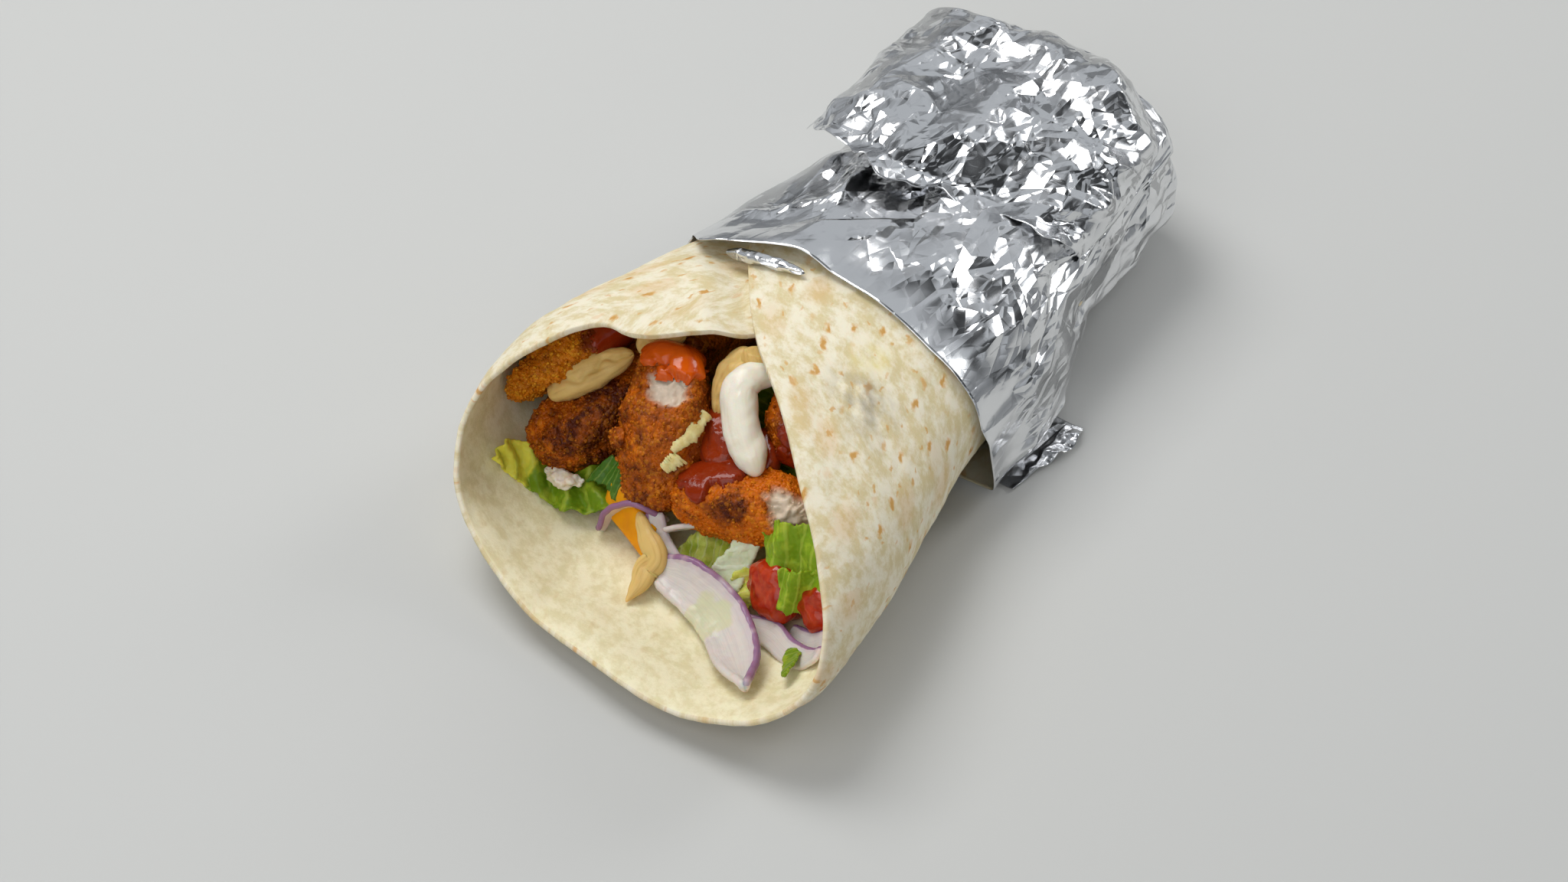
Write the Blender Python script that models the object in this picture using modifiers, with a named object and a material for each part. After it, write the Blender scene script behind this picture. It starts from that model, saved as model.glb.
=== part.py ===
"""Chicken wrap: a flour tortilla rolled round breaded chicken, salad and sauces, its closed end in foil.

Units are metres and +Z is up. The wrap lies along Y: the open mouth faces -Y and the foil end +Y.
Places are given as millimetres times MM, counted along Y from the middle of the tortilla's disc.
The tortilla is a flat disc bent round a row of cross-sections, so a point of it is known by its
distance round the roll, counted from the middle of the bottom, and its place along Y.
"""

from dataclasses import dataclass
import math
import random

import bmesh
import bpy
import numpy as np

MM = 0.001

# ---------------------------------------------------------------- driving dimensions

# The tortilla's flat disc.
DISC_RADIUS = 150 * MM
DISC_BACK = 66 * MM
DISC_SHIFT = 6.5 * MM
DISC_CORNER_ANGLE = math.radians(62)
LEFT_PULL = 19 * MM
LEFT_PULL_FROM = -112 * MM
LEFT_PULL_TO = -133 * MM
LEFT_PULL_FADE = (-50 * MM, 0.0)
RIM_WAVE = 0.5 * MM
RIM_WAVE_COUNTS = (9, 23)
TORTILLA_THICKNESS = 2.2 * MM

# The roll's cross-sections: place along Y, width, height and sideways shift of each.
ROLL_STATIONS = np.array((
    (-150, 113, 60, 13),
    (-120, 123, 61, 5),
    (-95, 125, 60, 0),
    (-70, 117, 55, -3),
    (-40, 102, 52, -2),
    (0, 86, 52, 2.5),
    (50, 80, 54, -2.5),
    (90, 79, 54, -6),
)) * MM
SECTION_POWER = 2.28
FLAT_BOTTOM_DEPTH = 2 * MM
LIP_RISE = 7 * MM
LIP_RISE_END = -120 * MM

# The gap that touching pieces keep, and how much wider a cutter is blown up so that the gap is kept.
GAP = 0.35 * MM
CUTTER_SWELLS = (1.15, 1.22, 1.3)

# The drop of the side that lies underneath at the seam.
LAP_GAP = 1.1 * MM
LAP_MARGIN = 2 * MM
LAP_RAMP = 16 * MM

# The foil, drawn thicker than real foil so that it is a solid.
FOIL_THICKNESS = 0.5 * MM
FOIL_SIDE_GAP = 1.0 * MM
FOIL_CREASE = 1.9 * MM
FOIL_LIFT_START = -62 * MM
FOIL_LIFT_END = -46 * MM
SLEEVE_SEGMENTS = 30
SLEEVE_RINGS = 15
SLEEVE_CLOSE = 70 * MM
SLEEVE_CAP = 11 * MM
SLEEVE_CAP_RINGS = 4
SLEEVE_CAP_ROUNDING = 0.7

# The sleeve's front edge as (x, y) pairs over the top and along the bottom, the heights between which
# it goes over from one to the other, the share of the sleeve behind it that lies smooth, and the
# heights between which the foil comes away from the flat bottom.
SLEEVE_FRONT_TOP = np.array(((-52, -42, -36, -30, -13, 0, 10, 34, 52),
                             (-28, -36, -40, -39, -30, -31, -34, -39, -42))) * MM
SLEEVE_FRONT_LOW = np.array(((-52, 0, 52), (-28, -36, -39))) * MM
SLEEVE_FRONT_HEIGHTS = (4 * MM, 30 * MM)
SLEEVE_SMOOTH_SHARE = 0.2
SLEEVE_FREE_HEIGHTS = (0.85 * MM, 5 * MM)

# The sleeve's lower right side, which hangs down straight as a skirt near the front.
SKIRT_FADE = (-2 * MM, 22 * MM)
SKIRT_HEIGHTS = (24 * MM, 30 * MM)
SKIRT_SIDE = (0.55, 0.68)
SKIRT_FLARE = 2.5 * MM
SKIRT_LIFT = 2.0 * MM

# The roll of foil under the front edge: distance from the top middle and place along Y of its points.
# The sleeve is lifted over it between these heights, and less and less between these two sides.
HEM_THICKNESS = 3.2 * MM
HEM_PATH = np.array(((26, -46), (16, -44.5), (4, -42))) * MM
HEM_HEIGHTS = (34 * MM, 44 * MM)
HEM_SIDE = (-12 * MM, 2 * MM)

# The end flap: its left and right side as shares of a turn, its free edge from left to right, how far
# it stands out behind the sleeve, and how far it bends down over the end.
FLAP_TURN = (0.69, 0.31)
FLAP_FRONT = np.array((14, 4, 1, -6, 4, 6, 9, 12, 20)) * MM
FLAP_DEPTH = np.array((13, 17, 19, 18, 15, 13)) * MM
FLAP_TOP_SHARE = 0.62
FLAP_BEND = math.radians(118)
FLAP_TAPER = 0.22
FLAP_RIM = 0.1
FLAP_GAP = 1.2 * MM
FLAP_RISE = 2.5 * MM
FLAP_LOBE = 4.5 * MM
FLAP_CREASE = 3.2 * MM

# The loose corner on the ground, which comes out from under the skirt.
CORNER_START = -31 * MM
CORNER_END = -1 * MM
CORNER_TUCK = 4 * MM
CORNER_REACH = np.array((2.2, 3.9, 6.4, 8.4, 6.9)) * MM
CORNER_RISE = 3 * MM
CORNER_FOLDS = 3.5

# Where the object's own origin lies, under the middle of its bounding box.
ORIGIN = (2.6 * MM, -29.0 * MM, 0.0)


def hermite(at, knots, values):
    """Smooth curve through (knots, values), read at the places in `at`."""
    at = np.clip(np.asarray(at, float), knots[0], knots[-1])
    slopes = np.gradient(values, knots, axis=0)
    cell = np.clip(np.searchsorted(knots, at, side="right") - 1, 0, len(knots) - 2)
    step = knots[cell + 1] - knots[cell]
    t = (at - knots[cell]) / step
    if values.ndim > 1:
        t = t[..., None]
        step = step[..., None]
    return ((1 + 2 * t) * (1 - t) ** 2 * values[cell] + t * (1 - t) ** 2 * step * slopes[cell]
            + t * t * (3 - 2 * t) * values[cell + 1] + t * t * (t - 1) * step * slopes[cell + 1])


def along_list(at, values):
    """Smooth curve through evenly spaced values, `at` running from 0 to 1 along them."""
    values = np.asarray(values, float)
    if len(values) == 1:
        return np.repeat(values, len(at), axis=0)
    return hermite(at, np.linspace(0, 1, len(values)), values)


def smoothstep(low, high, value):
    """0 below `low`, 1 above `high`, and a smooth S between them."""
    t = np.clip((value - low) / (high - low), 0, 1)
    return t * t * (3 - 2 * t)


class Roll:
    """The roll's outer skin, as cross-sections whose points are evenly spaced round each."""

    ROWS = 161
    STEPS = 480

    def __init__(self):
        knots = ROLL_STATIONS[:, 0]
        self.rows = np.linspace(knots[0], knots[-1], self.ROWS)
        width, height, shift = hermite(self.rows, knots, ROLL_STATIONS[:, 1:]).T[:, :, None]
        turn = np.linspace(-0.5 * math.pi, 1.5 * math.pi, 4 * self.STEPS + 1)
        power = 2 / SECTION_POWER
        across = np.sign(np.cos(turn)) * np.abs(np.cos(turn)) ** power
        upward = np.sign(np.sin(turn)) * np.abs(np.sin(turn)) ** power
        x = width / 2 * across + shift
        z = np.maximum(height / 2 * (1 + upward), FLAT_BOTTOM_DEPTH) - FLAT_BOTTOM_DEPTH
        travel = np.hypot(np.diff(x, axis=1), np.diff(z, axis=1)).cumsum(axis=1)
        travel = np.hstack((np.zeros((self.ROWS, 1)), travel))
        self.perimeters = travel[:, -1]
        even = np.linspace(0, 1, self.STEPS + 1)
        self.x = np.array([np.interp(even, t / t[-1], v) for t, v in zip(travel, x)])
        self.z = np.array([np.interp(even, t / t[-1], v) for t, v in zip(travel, z)])

    def perimeter(self, y):
        """Distance round the roll at y."""
        return np.interp(y, self.rows, self.perimeters)

    def skin(self, s, y):
        """x and z of the outer skin at distance s round the roll."""
        row = np.clip((y - self.rows[0]) / (self.rows[1] - self.rows[0]), 0, self.ROWS - 1.001)
        turn = np.mod(s / self.perimeter(y), 1) * self.STEPS
        r, c = row.astype(int), np.minimum(turn.astype(int), self.STEPS - 1)
        fr, fc = row - r, turn - c
        corners = ((0, 0, (1 - fr) * (1 - fc)), (1, 0, fr * (1 - fc)), (0, 1, (1 - fr) * fc), (1, 1, fr * fc))
        x = sum(weight * self.x[r + i, c + j] for i, j, weight in corners)
        z = sum(weight * self.z[r + i, c + j] for i, j, weight in corners)
        return x, z

    def point(self, s, y, outset=0.0):
        """Points at distance s round the roll and at y, moved outward from the skin by outset."""
        s, y = np.broadcast_arrays(np.asarray(s, float), np.asarray(y, float))
        reach = 1.5 * MM
        x, z = self.skin(s, y)
        x0, z0 = self.skin(s - reach, y)
        x1, z1 = self.skin(s + reach, y)
        length = np.hypot(x1 - x0, z1 - z0)
        lip = LIP_RISE * smoothstep(LIP_RISE_END, ROLL_STATIONS[0, 0], y)
        lift = (GAP + FOIL_THICKNESS) * smoothstep(FOIL_LIFT_START, FOIL_LIFT_END, y)
        return np.stack((x + outset * (z1 - z0) / length,
                         y,
                         z - outset * (x1 - x0) / length + lip + lift), axis=-1)


ROLL = Roll()


# ---------------------------------------------------------------- making and cutting objects

def material(name, colour, roughness, metallic=0.0):
    """A plain Principled material."""
    made = bpy.data.materials.new(name)
    made.use_nodes = True
    shader = made.node_tree.nodes["Principled BSDF"]
    shader.inputs["Base Color"].default_value = (*colour, 1)
    shader.inputs["Roughness"].default_value = roughness
    shader.inputs["Metallic"].default_value = metallic
    return made


def vertices_of(mesh):
    """The mesh's vertices as an array of one row each."""
    flat = np.empty(len(mesh.vertices) * 3)
    mesh.vertices.foreach_get("co", flat)
    return flat.reshape(-1, 3)


def finish(obj, name, look, points):
    """Name the new object, move its vertices to the points and give it its material."""
    obj.name = name
    obj.data.name = name
    obj.data.vertices.foreach_set("co", np.asarray(points, float).ravel())
    obj.data.materials.append(look)
    obj.data.shade_smooth()
    obj.data.update()
    return obj


def sheet(name, look, surface, columns, rows, thickness, offset=-1.0):
    """A thin solid: a grid laid on surface(u, v), cut into triangles and thickened."""
    bpy.ops.mesh.primitive_grid_add(x_subdivisions=columns, y_subdivisions=rows, size=1)
    obj = bpy.context.object
    u, v, _ = (vertices_of(obj.data) + 0.5).T
    finish(obj, name, look, surface(u, v))
    work = bmesh.new()
    work.from_mesh(obj.data)
    bmesh.ops.triangulate(work, faces=work.faces[:], quad_method="FIXED")
    work.to_mesh(obj.data)
    work.free()
    shell = obj.modifiers.new("thickness", "SOLIDIFY")
    shell.thickness = thickness
    shell.offset = offset
    return obj


def body(name, look, form, segments, rings):
    """A closed solid: a UV sphere whose unit directions go through form()."""
    bpy.ops.mesh.primitive_uv_sphere_add(segments=segments, ring_count=rings, radius=1)
    obj = bpy.context.object
    return finish(obj, name, look, form(vertices_of(obj.data)))


def apply_modifiers(obj):
    """Replace the object's mesh by its evaluated one."""
    shape = bpy.data.meshes.new_from_object(obj.evaluated_get(bpy.context.evaluated_depsgraph_get()))
    obj.modifiers.clear()
    obj.data = shape


def keep_largest(obj):
    """Drop the loose scraps that a cut leaves, all but the piece with most volume."""
    work = bmesh.new()
    work.from_mesh(obj.data)
    bmesh.ops.remove_doubles(work, verts=work.verts[:], dist=0.005 * MM)
    left = set(work.verts)
    islands = []
    while left:
        island, frontier = set(), [left.pop()]
        while frontier:
            vert = frontier.pop()
            island.add(vert)
            fresh = [edge.other_vert(vert) for edge in vert.link_edges]
            fresh = [v for v in fresh if v in left]
            left.difference_update(fresh)
            frontier.extend(fresh)
        islands.append(island)
    islands.sort(key=len)
    for island in islands[:-1]:
        bmesh.ops.delete(work, geom=list(island), context="VERTS")
    work.to_mesh(obj.data)
    work.free()


def bounds(obj):
    """Lowest and highest corner of the object's mesh."""
    points = vertices_of(obj.data)
    return points.min(axis=0), points.max(axis=0)


def cut_by(obj, cutter):
    """Take the cutter out of the object, and keep the largest piece that is left."""
    cut = obj.modifiers.new("clearance", "BOOLEAN")
    cut.operation = "DIFFERENCE"
    cut.object = cutter
    apply_modifiers(obj)
    if obj.data.vertices:
        keep_largest(obj)


def clear_of(obj, others, gap=GAP):
    """Cut from the object what comes nearer than the gap to any of the others.

    Where faces nearly coincide the solver can leave nothing at all; the cutter is then swollen a little
    more.
    """
    apply_modifiers(obj)
    for other in others:
        low, high = bounds(obj)
        other_low, other_high = bounds(other)
        if np.any(other_high + gap < low) or np.any(high < other_low - gap):
            continue
        whole = obj.data.copy()
        normals = np.empty(len(other.data.vertices) * 3)
        other.data.vertices.foreach_get("normal", normals)
        for swell in CUTTER_SWELLS:
            cutter = other.copy()
            cutter.data = other.data.copy()
            bpy.context.collection.objects.link(cutter)
            swollen = vertices_of(cutter.data).ravel() + swell * gap * normals
            cutter.data.vertices.foreach_set("co", swollen)
            obj.data = whole.copy()
            cut_by(obj, cutter)
            bpy.data.objects.remove(cutter)
            if obj.data.vertices:
                break
    return obj


# ---------------------------------------------------------------- tortilla

def disc_rim(angle):
    """Flat place on the disc's scalloped rim, the angle counted from the mouth side."""
    slow, fast = RIM_WAVE_COUNTS
    radius = DISC_RADIUS + RIM_WAVE * (np.sin(slow * angle) + 0.6 * np.sin(fast * angle + 1))
    return np.stack((radius * np.sin(angle), -radius * np.cos(angle)), axis=-1)


def disc_patch(u, v):
    """Flat places of a grid that fills the disc, from the mouth rim to the straight back line."""
    back_angle = math.acos(-DISC_BACK / DISC_RADIUS)
    front = disc_rim((2 * u - 1) * DISC_CORNER_ANGLE)
    side = DISC_CORNER_ANGLE + v * (back_angle - DISC_CORNER_ANGLE)
    left, right = disc_rim(-side), disc_rim(side)
    back_left, back_right = disc_rim(-back_angle), disc_rim(back_angle)
    front_left, front_right = disc_rim(-DISC_CORNER_ANGLE), disc_rim(DISC_CORNER_ANGLE)
    u, v = u[..., None], v[..., None]
    back = (1 - u) * back_left + u * back_right
    corners = ((1 - u) * ((1 - v) * front_left + v * back_left)
               + u * ((1 - v) * front_right + v * back_right))
    return (1 - v) * front + v * back + (1 - u) * left + u * right - corners


def tortilla_surface(u, v):
    """The rolled disc's outer face. The left flap is pulled forward and dips under the right one."""
    flat = disc_patch(u, v)
    s, y = flat[..., 0] + DISC_SHIFT, flat[..., 1]
    y = y - LEFT_PULL * smoothstep(LEFT_PULL_FROM, LEFT_PULL_TO, s) * (1 - smoothstep(*LEFT_PULL_FADE, y))
    half_chord = np.sqrt(np.maximum(DISC_RADIUS ** 2 - y ** 2, 0))
    lap_edge = half_chord + DISC_SHIFT - ROLL.perimeter(y)
    dip = 1 - smoothstep(0, LAP_RAMP, s - lap_edge - LAP_MARGIN)
    return ROLL.point(s, y, -(TORTILLA_THICKNESS + LAP_GAP) * dip)


def make_tortilla():
    look = material("tortilla", (0.86, 0.78, 0.62), 0.75)
    return sheet("tortilla", look, tortilla_surface, 27, 20, TORTILLA_THICKNESS, 1.0)


# ---------------------------------------------------------------- foil

def sleeve_front(x, z):
    """Place along Y of the foil's front edge, which runs slanting round the roll."""
    top = hermite(x, *SLEEVE_FRONT_TOP)
    low = hermite(x, *SLEEVE_FRONT_LOW)
    return low + (top - low) * smoothstep(*SLEEVE_FRONT_HEIGHTS, z)


def random_depths(count, seed):
    """Random numbers from 0 to 1, the same ones on every run."""
    dice = random.Random(seed)
    return np.array([dice.random() for _ in range(count)])


def cap_middle():
    """x and z of the middle of the foil's far end."""
    return ROLL_STATIONS[-1, 3], 0.5 * ROLL_STATIONS[-1, 2]


def skirt_face(y):
    """How far right the sleeve's loose skirt hangs at y."""
    return ROLL.point(0.25 * ROLL.perimeter(y), y, GAP + FOIL_SIDE_GAP + SKIRT_FLARE)[..., 0]


def sleeve_form(direction):
    """Foil cup round the roll: open at the front edge, drawn together at the far end."""
    turn = np.arctan2(direction[:, 0], -direction[:, 1]) / math.tau
    ring = np.arccos(np.clip(direction[:, 2], -1, 1)) / math.pi * SLEEVE_RINGS
    along = np.clip((ring - 1) / (SLEEVE_RINGS - SLEEVE_CAP_RINGS - 1), 0, 1)
    closing = np.clip((ring - SLEEVE_RINGS) / SLEEVE_CAP_RINGS + 1, 0, 1) * math.pi / 2
    front_mean = SLEEVE_FRONT_TOP[1].min()
    front = sleeve_front(*ROLL.skin(turn * ROLL.perimeter(front_mean), np.full(len(turn), front_mean)))
    y = front + along * (SLEEVE_CLOSE - front)
    s = turn * ROLL.perimeter(y)
    aside, _, height = ROLL.point(s, y).T
    past_front = smoothstep(0, SLEEVE_SMOOTH_SHARE, along)
    crumple = random_depths(len(turn), 11) * past_front * FOIL_CREASE
    stand_off = (FOIL_SIDE_GAP + crumple) * smoothstep(*SLEEVE_FREE_HEIGHTS, height)
    over_hem = (1 - past_front) * smoothstep(*HEM_HEIGHTS, height) * (1 - smoothstep(*HEM_SIDE, aside))
    points = ROLL.point(s, y, GAP + stand_off + HEM_THICKNESS * over_hem)
    hanging = (1 - smoothstep(*SKIRT_FADE, y)) * (1 - smoothstep(*SKIRT_HEIGHTS, points[:, 2]))
    hanging *= smoothstep(*SKIRT_SIDE, points[:, 0] / skirt_face(y))
    points[:, 0] += hanging * np.maximum(skirt_face(y) - points[:, 0], 0)
    points[:, 2] += hanging * SKIRT_LIFT * (1 - smoothstep(SKIRT_LIFT, 4 * SKIRT_LIFT, points[:, 2]))
    middle_x, middle_z = cap_middle()
    narrowing = np.cos(closing) ** SLEEVE_CAP_ROUNDING
    points[:, 0] = middle_x + narrowing * (points[:, 0] - middle_x)
    points[:, 1] += SLEEVE_CAP * np.sin(closing)
    points[:, 2] = middle_z + narrowing * (points[:, 2] - middle_z)
    return points


def make_sleeve(look):
    """Foil sleeve: a sphere that is bent round the roll, its front pole taken away."""
    sleeve = body("foil_sleeve", look, sleeve_form, SLEEVE_SEGMENTS, SLEEVE_RINGS)
    work = bmesh.new()
    work.from_mesh(sleeve.data)
    poles = [vert for vert in work.verts if len(vert.link_edges) == SLEEVE_SEGMENTS]
    front_pole = min(poles, key=lambda vert: vert.co.y)
    bmesh.ops.delete(work, geom=[front_pole], context="VERTS")
    bmesh.ops.triangulate(work, faces=work.faces[:], quad_method="FIXED")
    work.to_mesh(sleeve.data)
    work.free()
    shell = sleeve.modifiers.new("thickness", "SOLIDIFY")
    shell.thickness = FOIL_THICKNESS
    shell.offset = 1.0
    return sleeve


def flap_surface(u, v):
    """The foil's far end folded forward over the top: up the end face, then to a ragged free edge."""
    turn = FLAP_TURN[0] + u * (FLAP_TURN[1] - FLAP_TURN[0])
    front = along_list(u, FLAP_FRONT)
    y = front + np.clip(v / FLAP_TOP_SHARE, 0, 1) * (SLEEVE_CLOSE - front)
    over = np.clip((v - FLAP_TOP_SHARE) / (1 - FLAP_TOP_SHARE), 0, 1) * FLAP_BEND
    raised = FLAP_RISE * (1 - smoothstep(0, 0.35, v)) + FLAP_LOBE * (1 - smoothstep(0, 0.4, u))
    off_rim = smoothstep(0, FLAP_RIM, u) * smoothstep(0, FLAP_RIM, 1 - u)
    crumple = FLAP_CREASE * random_depths(len(u), 5) * off_rim
    over_sleeve = GAP + FOIL_SIDE_GAP + FOIL_CREASE + FOIL_THICKNESS + FLAP_GAP
    points = ROLL.point(turn * ROLL.perimeter(y), y, over_sleeve + raised + crumple)
    middle_x, middle_z = cap_middle()
    points[:, 0] -= FLAP_TAPER * np.sin(over) * (points[:, 0] - middle_x)
    points[:, 1] += np.sin(over) * (along_list(u, FLAP_DEPTH) + crumple)
    points[:, 2] = middle_z + np.cos(over) * (points[:, 2] - middle_z)
    return points


def make_hem(look):
    """The small roll of foil that shows under the sleeve's front edge."""
    path = [ROLL.point(0.5 * ROLL.perimeter(y) + shift, y, 0.5 * HEM_THICKNESS + GAP)
            for shift, y in HEM_PATH]
    return body("foil_hem", look, tube_form(np.array(path), 0.5 * HEM_THICKNESS - GAP), 8, 8)


def corner_surface(u, v):
    """The foil sheet's loose corner: flat under the skirt, and crinkled where it lies free."""
    y = CORNER_START + u * (CORNER_END - CORNER_START)
    out = v * (along_list(u, CORNER_REACH) + CORNER_TUCK) - CORNER_TUCK
    free = smoothstep(0, CORNER_REACH.max(), out)
    x = skirt_face(y) + FOIL_THICKNESS + out
    z = GAP + CORNER_RISE * free * (0.6 + 0.4 * np.cos(u * math.tau * CORNER_FOLDS))
    return np.stack((x, y, z), axis=-1)


# ---------------------------------------------------------------- soft rounded food

def tube_form(path, radius, flatness=1.0, up=(0, 0, 1), squareness=1.0, lumps=0.0, seed=0):
    """Map a unit sphere's directions onto a rounded body along the path.

    radius is one number, or one for each point of the path. flatness is height over width, and
    squareness below 1 makes the ends and the section fuller. Low waves of random direction make it uneven.
    """
    radii = np.atleast_1d(radius)

    def form(direction):
        ring = np.hypot(direction[:, 0], direction[:, 1])
        along = 0.5 + 0.5 * np.sign(direction[:, 2]) * np.abs(direction[:, 2]) ** squareness
        centre = along_list(along, path)
        tangent = along_list(along + 0.02, path) - along_list(along - 0.02, path)
        tangent /= np.linalg.norm(tangent, axis=1)[:, None]
        side = np.cross(tangent, np.asarray(up, float))
        side /= np.linalg.norm(side, axis=1)[:, None]
        lift = np.cross(side, tangent)
        turn = np.arctan2(direction[:, 1], direction[:, 0])
        width = np.sign(np.cos(turn)) * np.abs(np.cos(turn)) ** squareness
        height = np.sign(np.sin(turn)) * np.abs(np.sin(turn)) ** squareness
        swell = along_list(along, radii) * ring ** squareness
        dice = random.Random(seed)
        for _ in range(4):
            wave = np.array([dice.uniform(-3.2, 3.2) for _ in range(3)])
            swell *= 1 + 0.5 * lumps * np.sin(direction @ wave + dice.uniform(0, math.tau))
        return centre + (swell * width)[:, None] * side + (swell * height * flatness)[:, None] * lift
    return form


@dataclass(frozen=True)
class Lump:
    """One rounded piece of food: its path and radii in millimetres, and its form."""

    name: str
    path: tuple
    radii: tuple
    flatness: float = 1.0
    up: tuple = (0, 0, 1)
    squareness: float = 0.75
    lumps: float = 0.08
    seed: int = 1
    segments: int = 14
    rings: int = 10

    def make(self, look):
        form = tube_form(np.array(self.path) * MM, np.array(self.radii) * MM, self.flatness,
                         self.up, self.squareness, self.lumps, self.seed)
        return body(self.name, look, form, self.segments, self.rings)


@dataclass(frozen=True)
class Slice:
    """A thin piece of food: the path of its middle, its widths, and the way its width points."""

    name: str
    path: tuple
    widths: tuple
    across: tuple
    thickness: float
    waves: float = 0.0
    wave_depth: float = 0.0
    cup: float = 0.0
    columns: int = 10
    rows: int = 2

    def surface(self, u, v):
        centre = along_list(u, self.path)
        tangent = along_list(u + 0.02, self.path) - along_list(u - 0.02, self.path)
        width = along_list(u, self.widths)
        across = along_list(u, self.across)
        across /= np.linalg.norm(across, axis=1)[:, None]
        normal = np.cross(tangent, across)
        normal /= np.linalg.norm(normal, axis=1)[:, None]
        place = v - 0.5
        rise = self.cup * 4 * place ** 2 + self.wave_depth * np.sin(math.tau * self.waves * (u + 0.35 * v))
        return (centre + (width * place)[:, None] * across + rise[:, None] * normal) * MM

    def make(self, look):
        return sheet(self.name, look, self.surface, self.columns, self.rows, self.thickness * MM, 0.0)


TILTED = (0, -0.7, 0.7)

CHICKEN = (
    Lump("chicken_middle", ((-9, -103, 14), (-14, -92, 27), (-21, -77, 43)), (10, 12, 10.5), 0.8,
         TILTED, 0.7, 0.1, seed=3, segments=16, rings=11),
    Lump("chicken_lower", ((-4, -99, 20), (14, -94.5, 22), (34, -88.5, 25.5)), (9, 9.2, 8.5), 0.95,
         squareness=0.7, lumps=0.1, seed=8),
    Lump("chicken_left",
         ((-46, -106, 15), (-36, -85, 22), (-30, -40, 26), (-21, 15, 30), (-19, 62, 31)),
         (9.5, 11.5, 15, 15, 13), squareness=0.65, seed=4, rings=14),
    Lump("chicken_back_left",
         ((-55, -103, 27), (-49, -84, 34), (-37, -45, 38), (-26, -10, 40), (-8, 52, 43)),
         (5.5, 7, 7, 7, 5), 1.3, (0.5, 0, 0.85), squareness=0.65, seed=5, rings=13),
    Lump("chicken_right", ((20, -83, 34), (15, -55, 36), (14, -15, 35), (16, 25, 34), (14, 62, 32)),
         (10, 12.5, 14.5, 16, 14), 0.95, squareness=0.65, seed=6, rings=13),
)

SAUCES = (
    Lump("sauce_white",
         ((7, -69, 43.5), (2, -74, 44.5), (1, -79, 42.5), (6, -85, 38), (12, -89, 34.5), (16.5, -92, 32)),
         (3.6, 4.6, 4.8, 4.8, 4.8, 4.6), 0.85, TILTED, 0.9, 0.04, seed=2, segments=10, rings=12),
    Lump("sauce_tan_left", ((-47, -98, 28), (-42, -93, 32.5), (-37, -87, 35.5), (-32, -81, 38.5)),
         (4.2, 4.6, 4.2, 3.6), 0.8, TILTED, 0.9, seed=4, segments=10, rings=9),
    Lump("sauce_tan_upper", ((-32, -79, 38), (-28, -75.5, 42), (-22, -71, 45)), (3.8, 4.6, 4), 0.9,
         TILTED, 0.9, 0.06, seed=9, segments=10, rings=8),
    Lump("sauce_tan_middle", ((-5, -67, 45), (-5, -75, 41), (-3, -83, 35)), (4.2, 4.2, 3), 0.9,
         TILTED, 0.9, 0.06, seed=6, segments=10, rings=8),
    Lump("sauce_tan_drip",
         ((-10.5, -107, 14.5), (-5.4, -110, 12), (0, -113, 9.5), (-1, -116, 7), (0, -120, 5.5),
          (0, -125.5, 3.9)),
         (2.4, 3.2, 3.2, 3.4, 2.7, 0.9), 0.7, TILTED, 0.9, 0.06, seed=7, segments=8, rings=11),
)

ONIONS = (
    Slice("onion_large",
          ((2.5, -114, 6.5), (12.5, -114.5, 8), (26, -118.5, 7.5), (38, -128, 9.5), (46.5, -136.5, 13)),
          (7.5, 12, 12.5, 10, 1),
          ((-0.4, 0.8, 0.45), (-0.25, 0.73, 0.65), (0.13, 0.9, 0.42), (0.55, 0.8, 0.2), (0.6, 0.75, 0.1)),
          2.2, cup=1.0, columns=14, rows=3),
    Slice("onion_arch",
          ((-21, -110, 4.5), (-19, -108, 10.5), (-13.3, -106, 15.2), (-8.5, -105, 15), (-5, -103.5, 12.5)),
          (3, 4.5, 4.5, 4.5, 3), ((0, 0.7, -0.7),), 1.6),
    Slice("onion_strip", ((-6.6, -105, 14.5), (-3.7, -107.5, 10.5), (2.6, -110, 8.5), (6.5, -108.5, 7.5)),
          (3.5, 5, 5, 3), ((0.8, 0.4, 0.1),), 1.6),
    Slice("onion_thin", ((-1.8, -106.5, 13.2), (2.5, -104, 15), (7, -101.5, 16.5)), (1.5, 3, 1.5),
          ((0, 0.7, -0.7),), 1.4, columns=6),
    Slice("onion_right_front",
          ((29, -114.5, 5), (37, -114, 6.5), (45, -117, 8), (52, -119, 11.5), (56, -119, 16)),
          (4.5, 6, 5.5, 5, 3), ((0, 0.85, 0.5),), 1.5),
    Slice("onion_right_back", ((41, -110.5, 6), (48, -112.5, 8.5), (54, -112, 14)), (4, 6, 5),
          ((0, 0.8, 0.6),), 1.4, columns=6),
)

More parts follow.
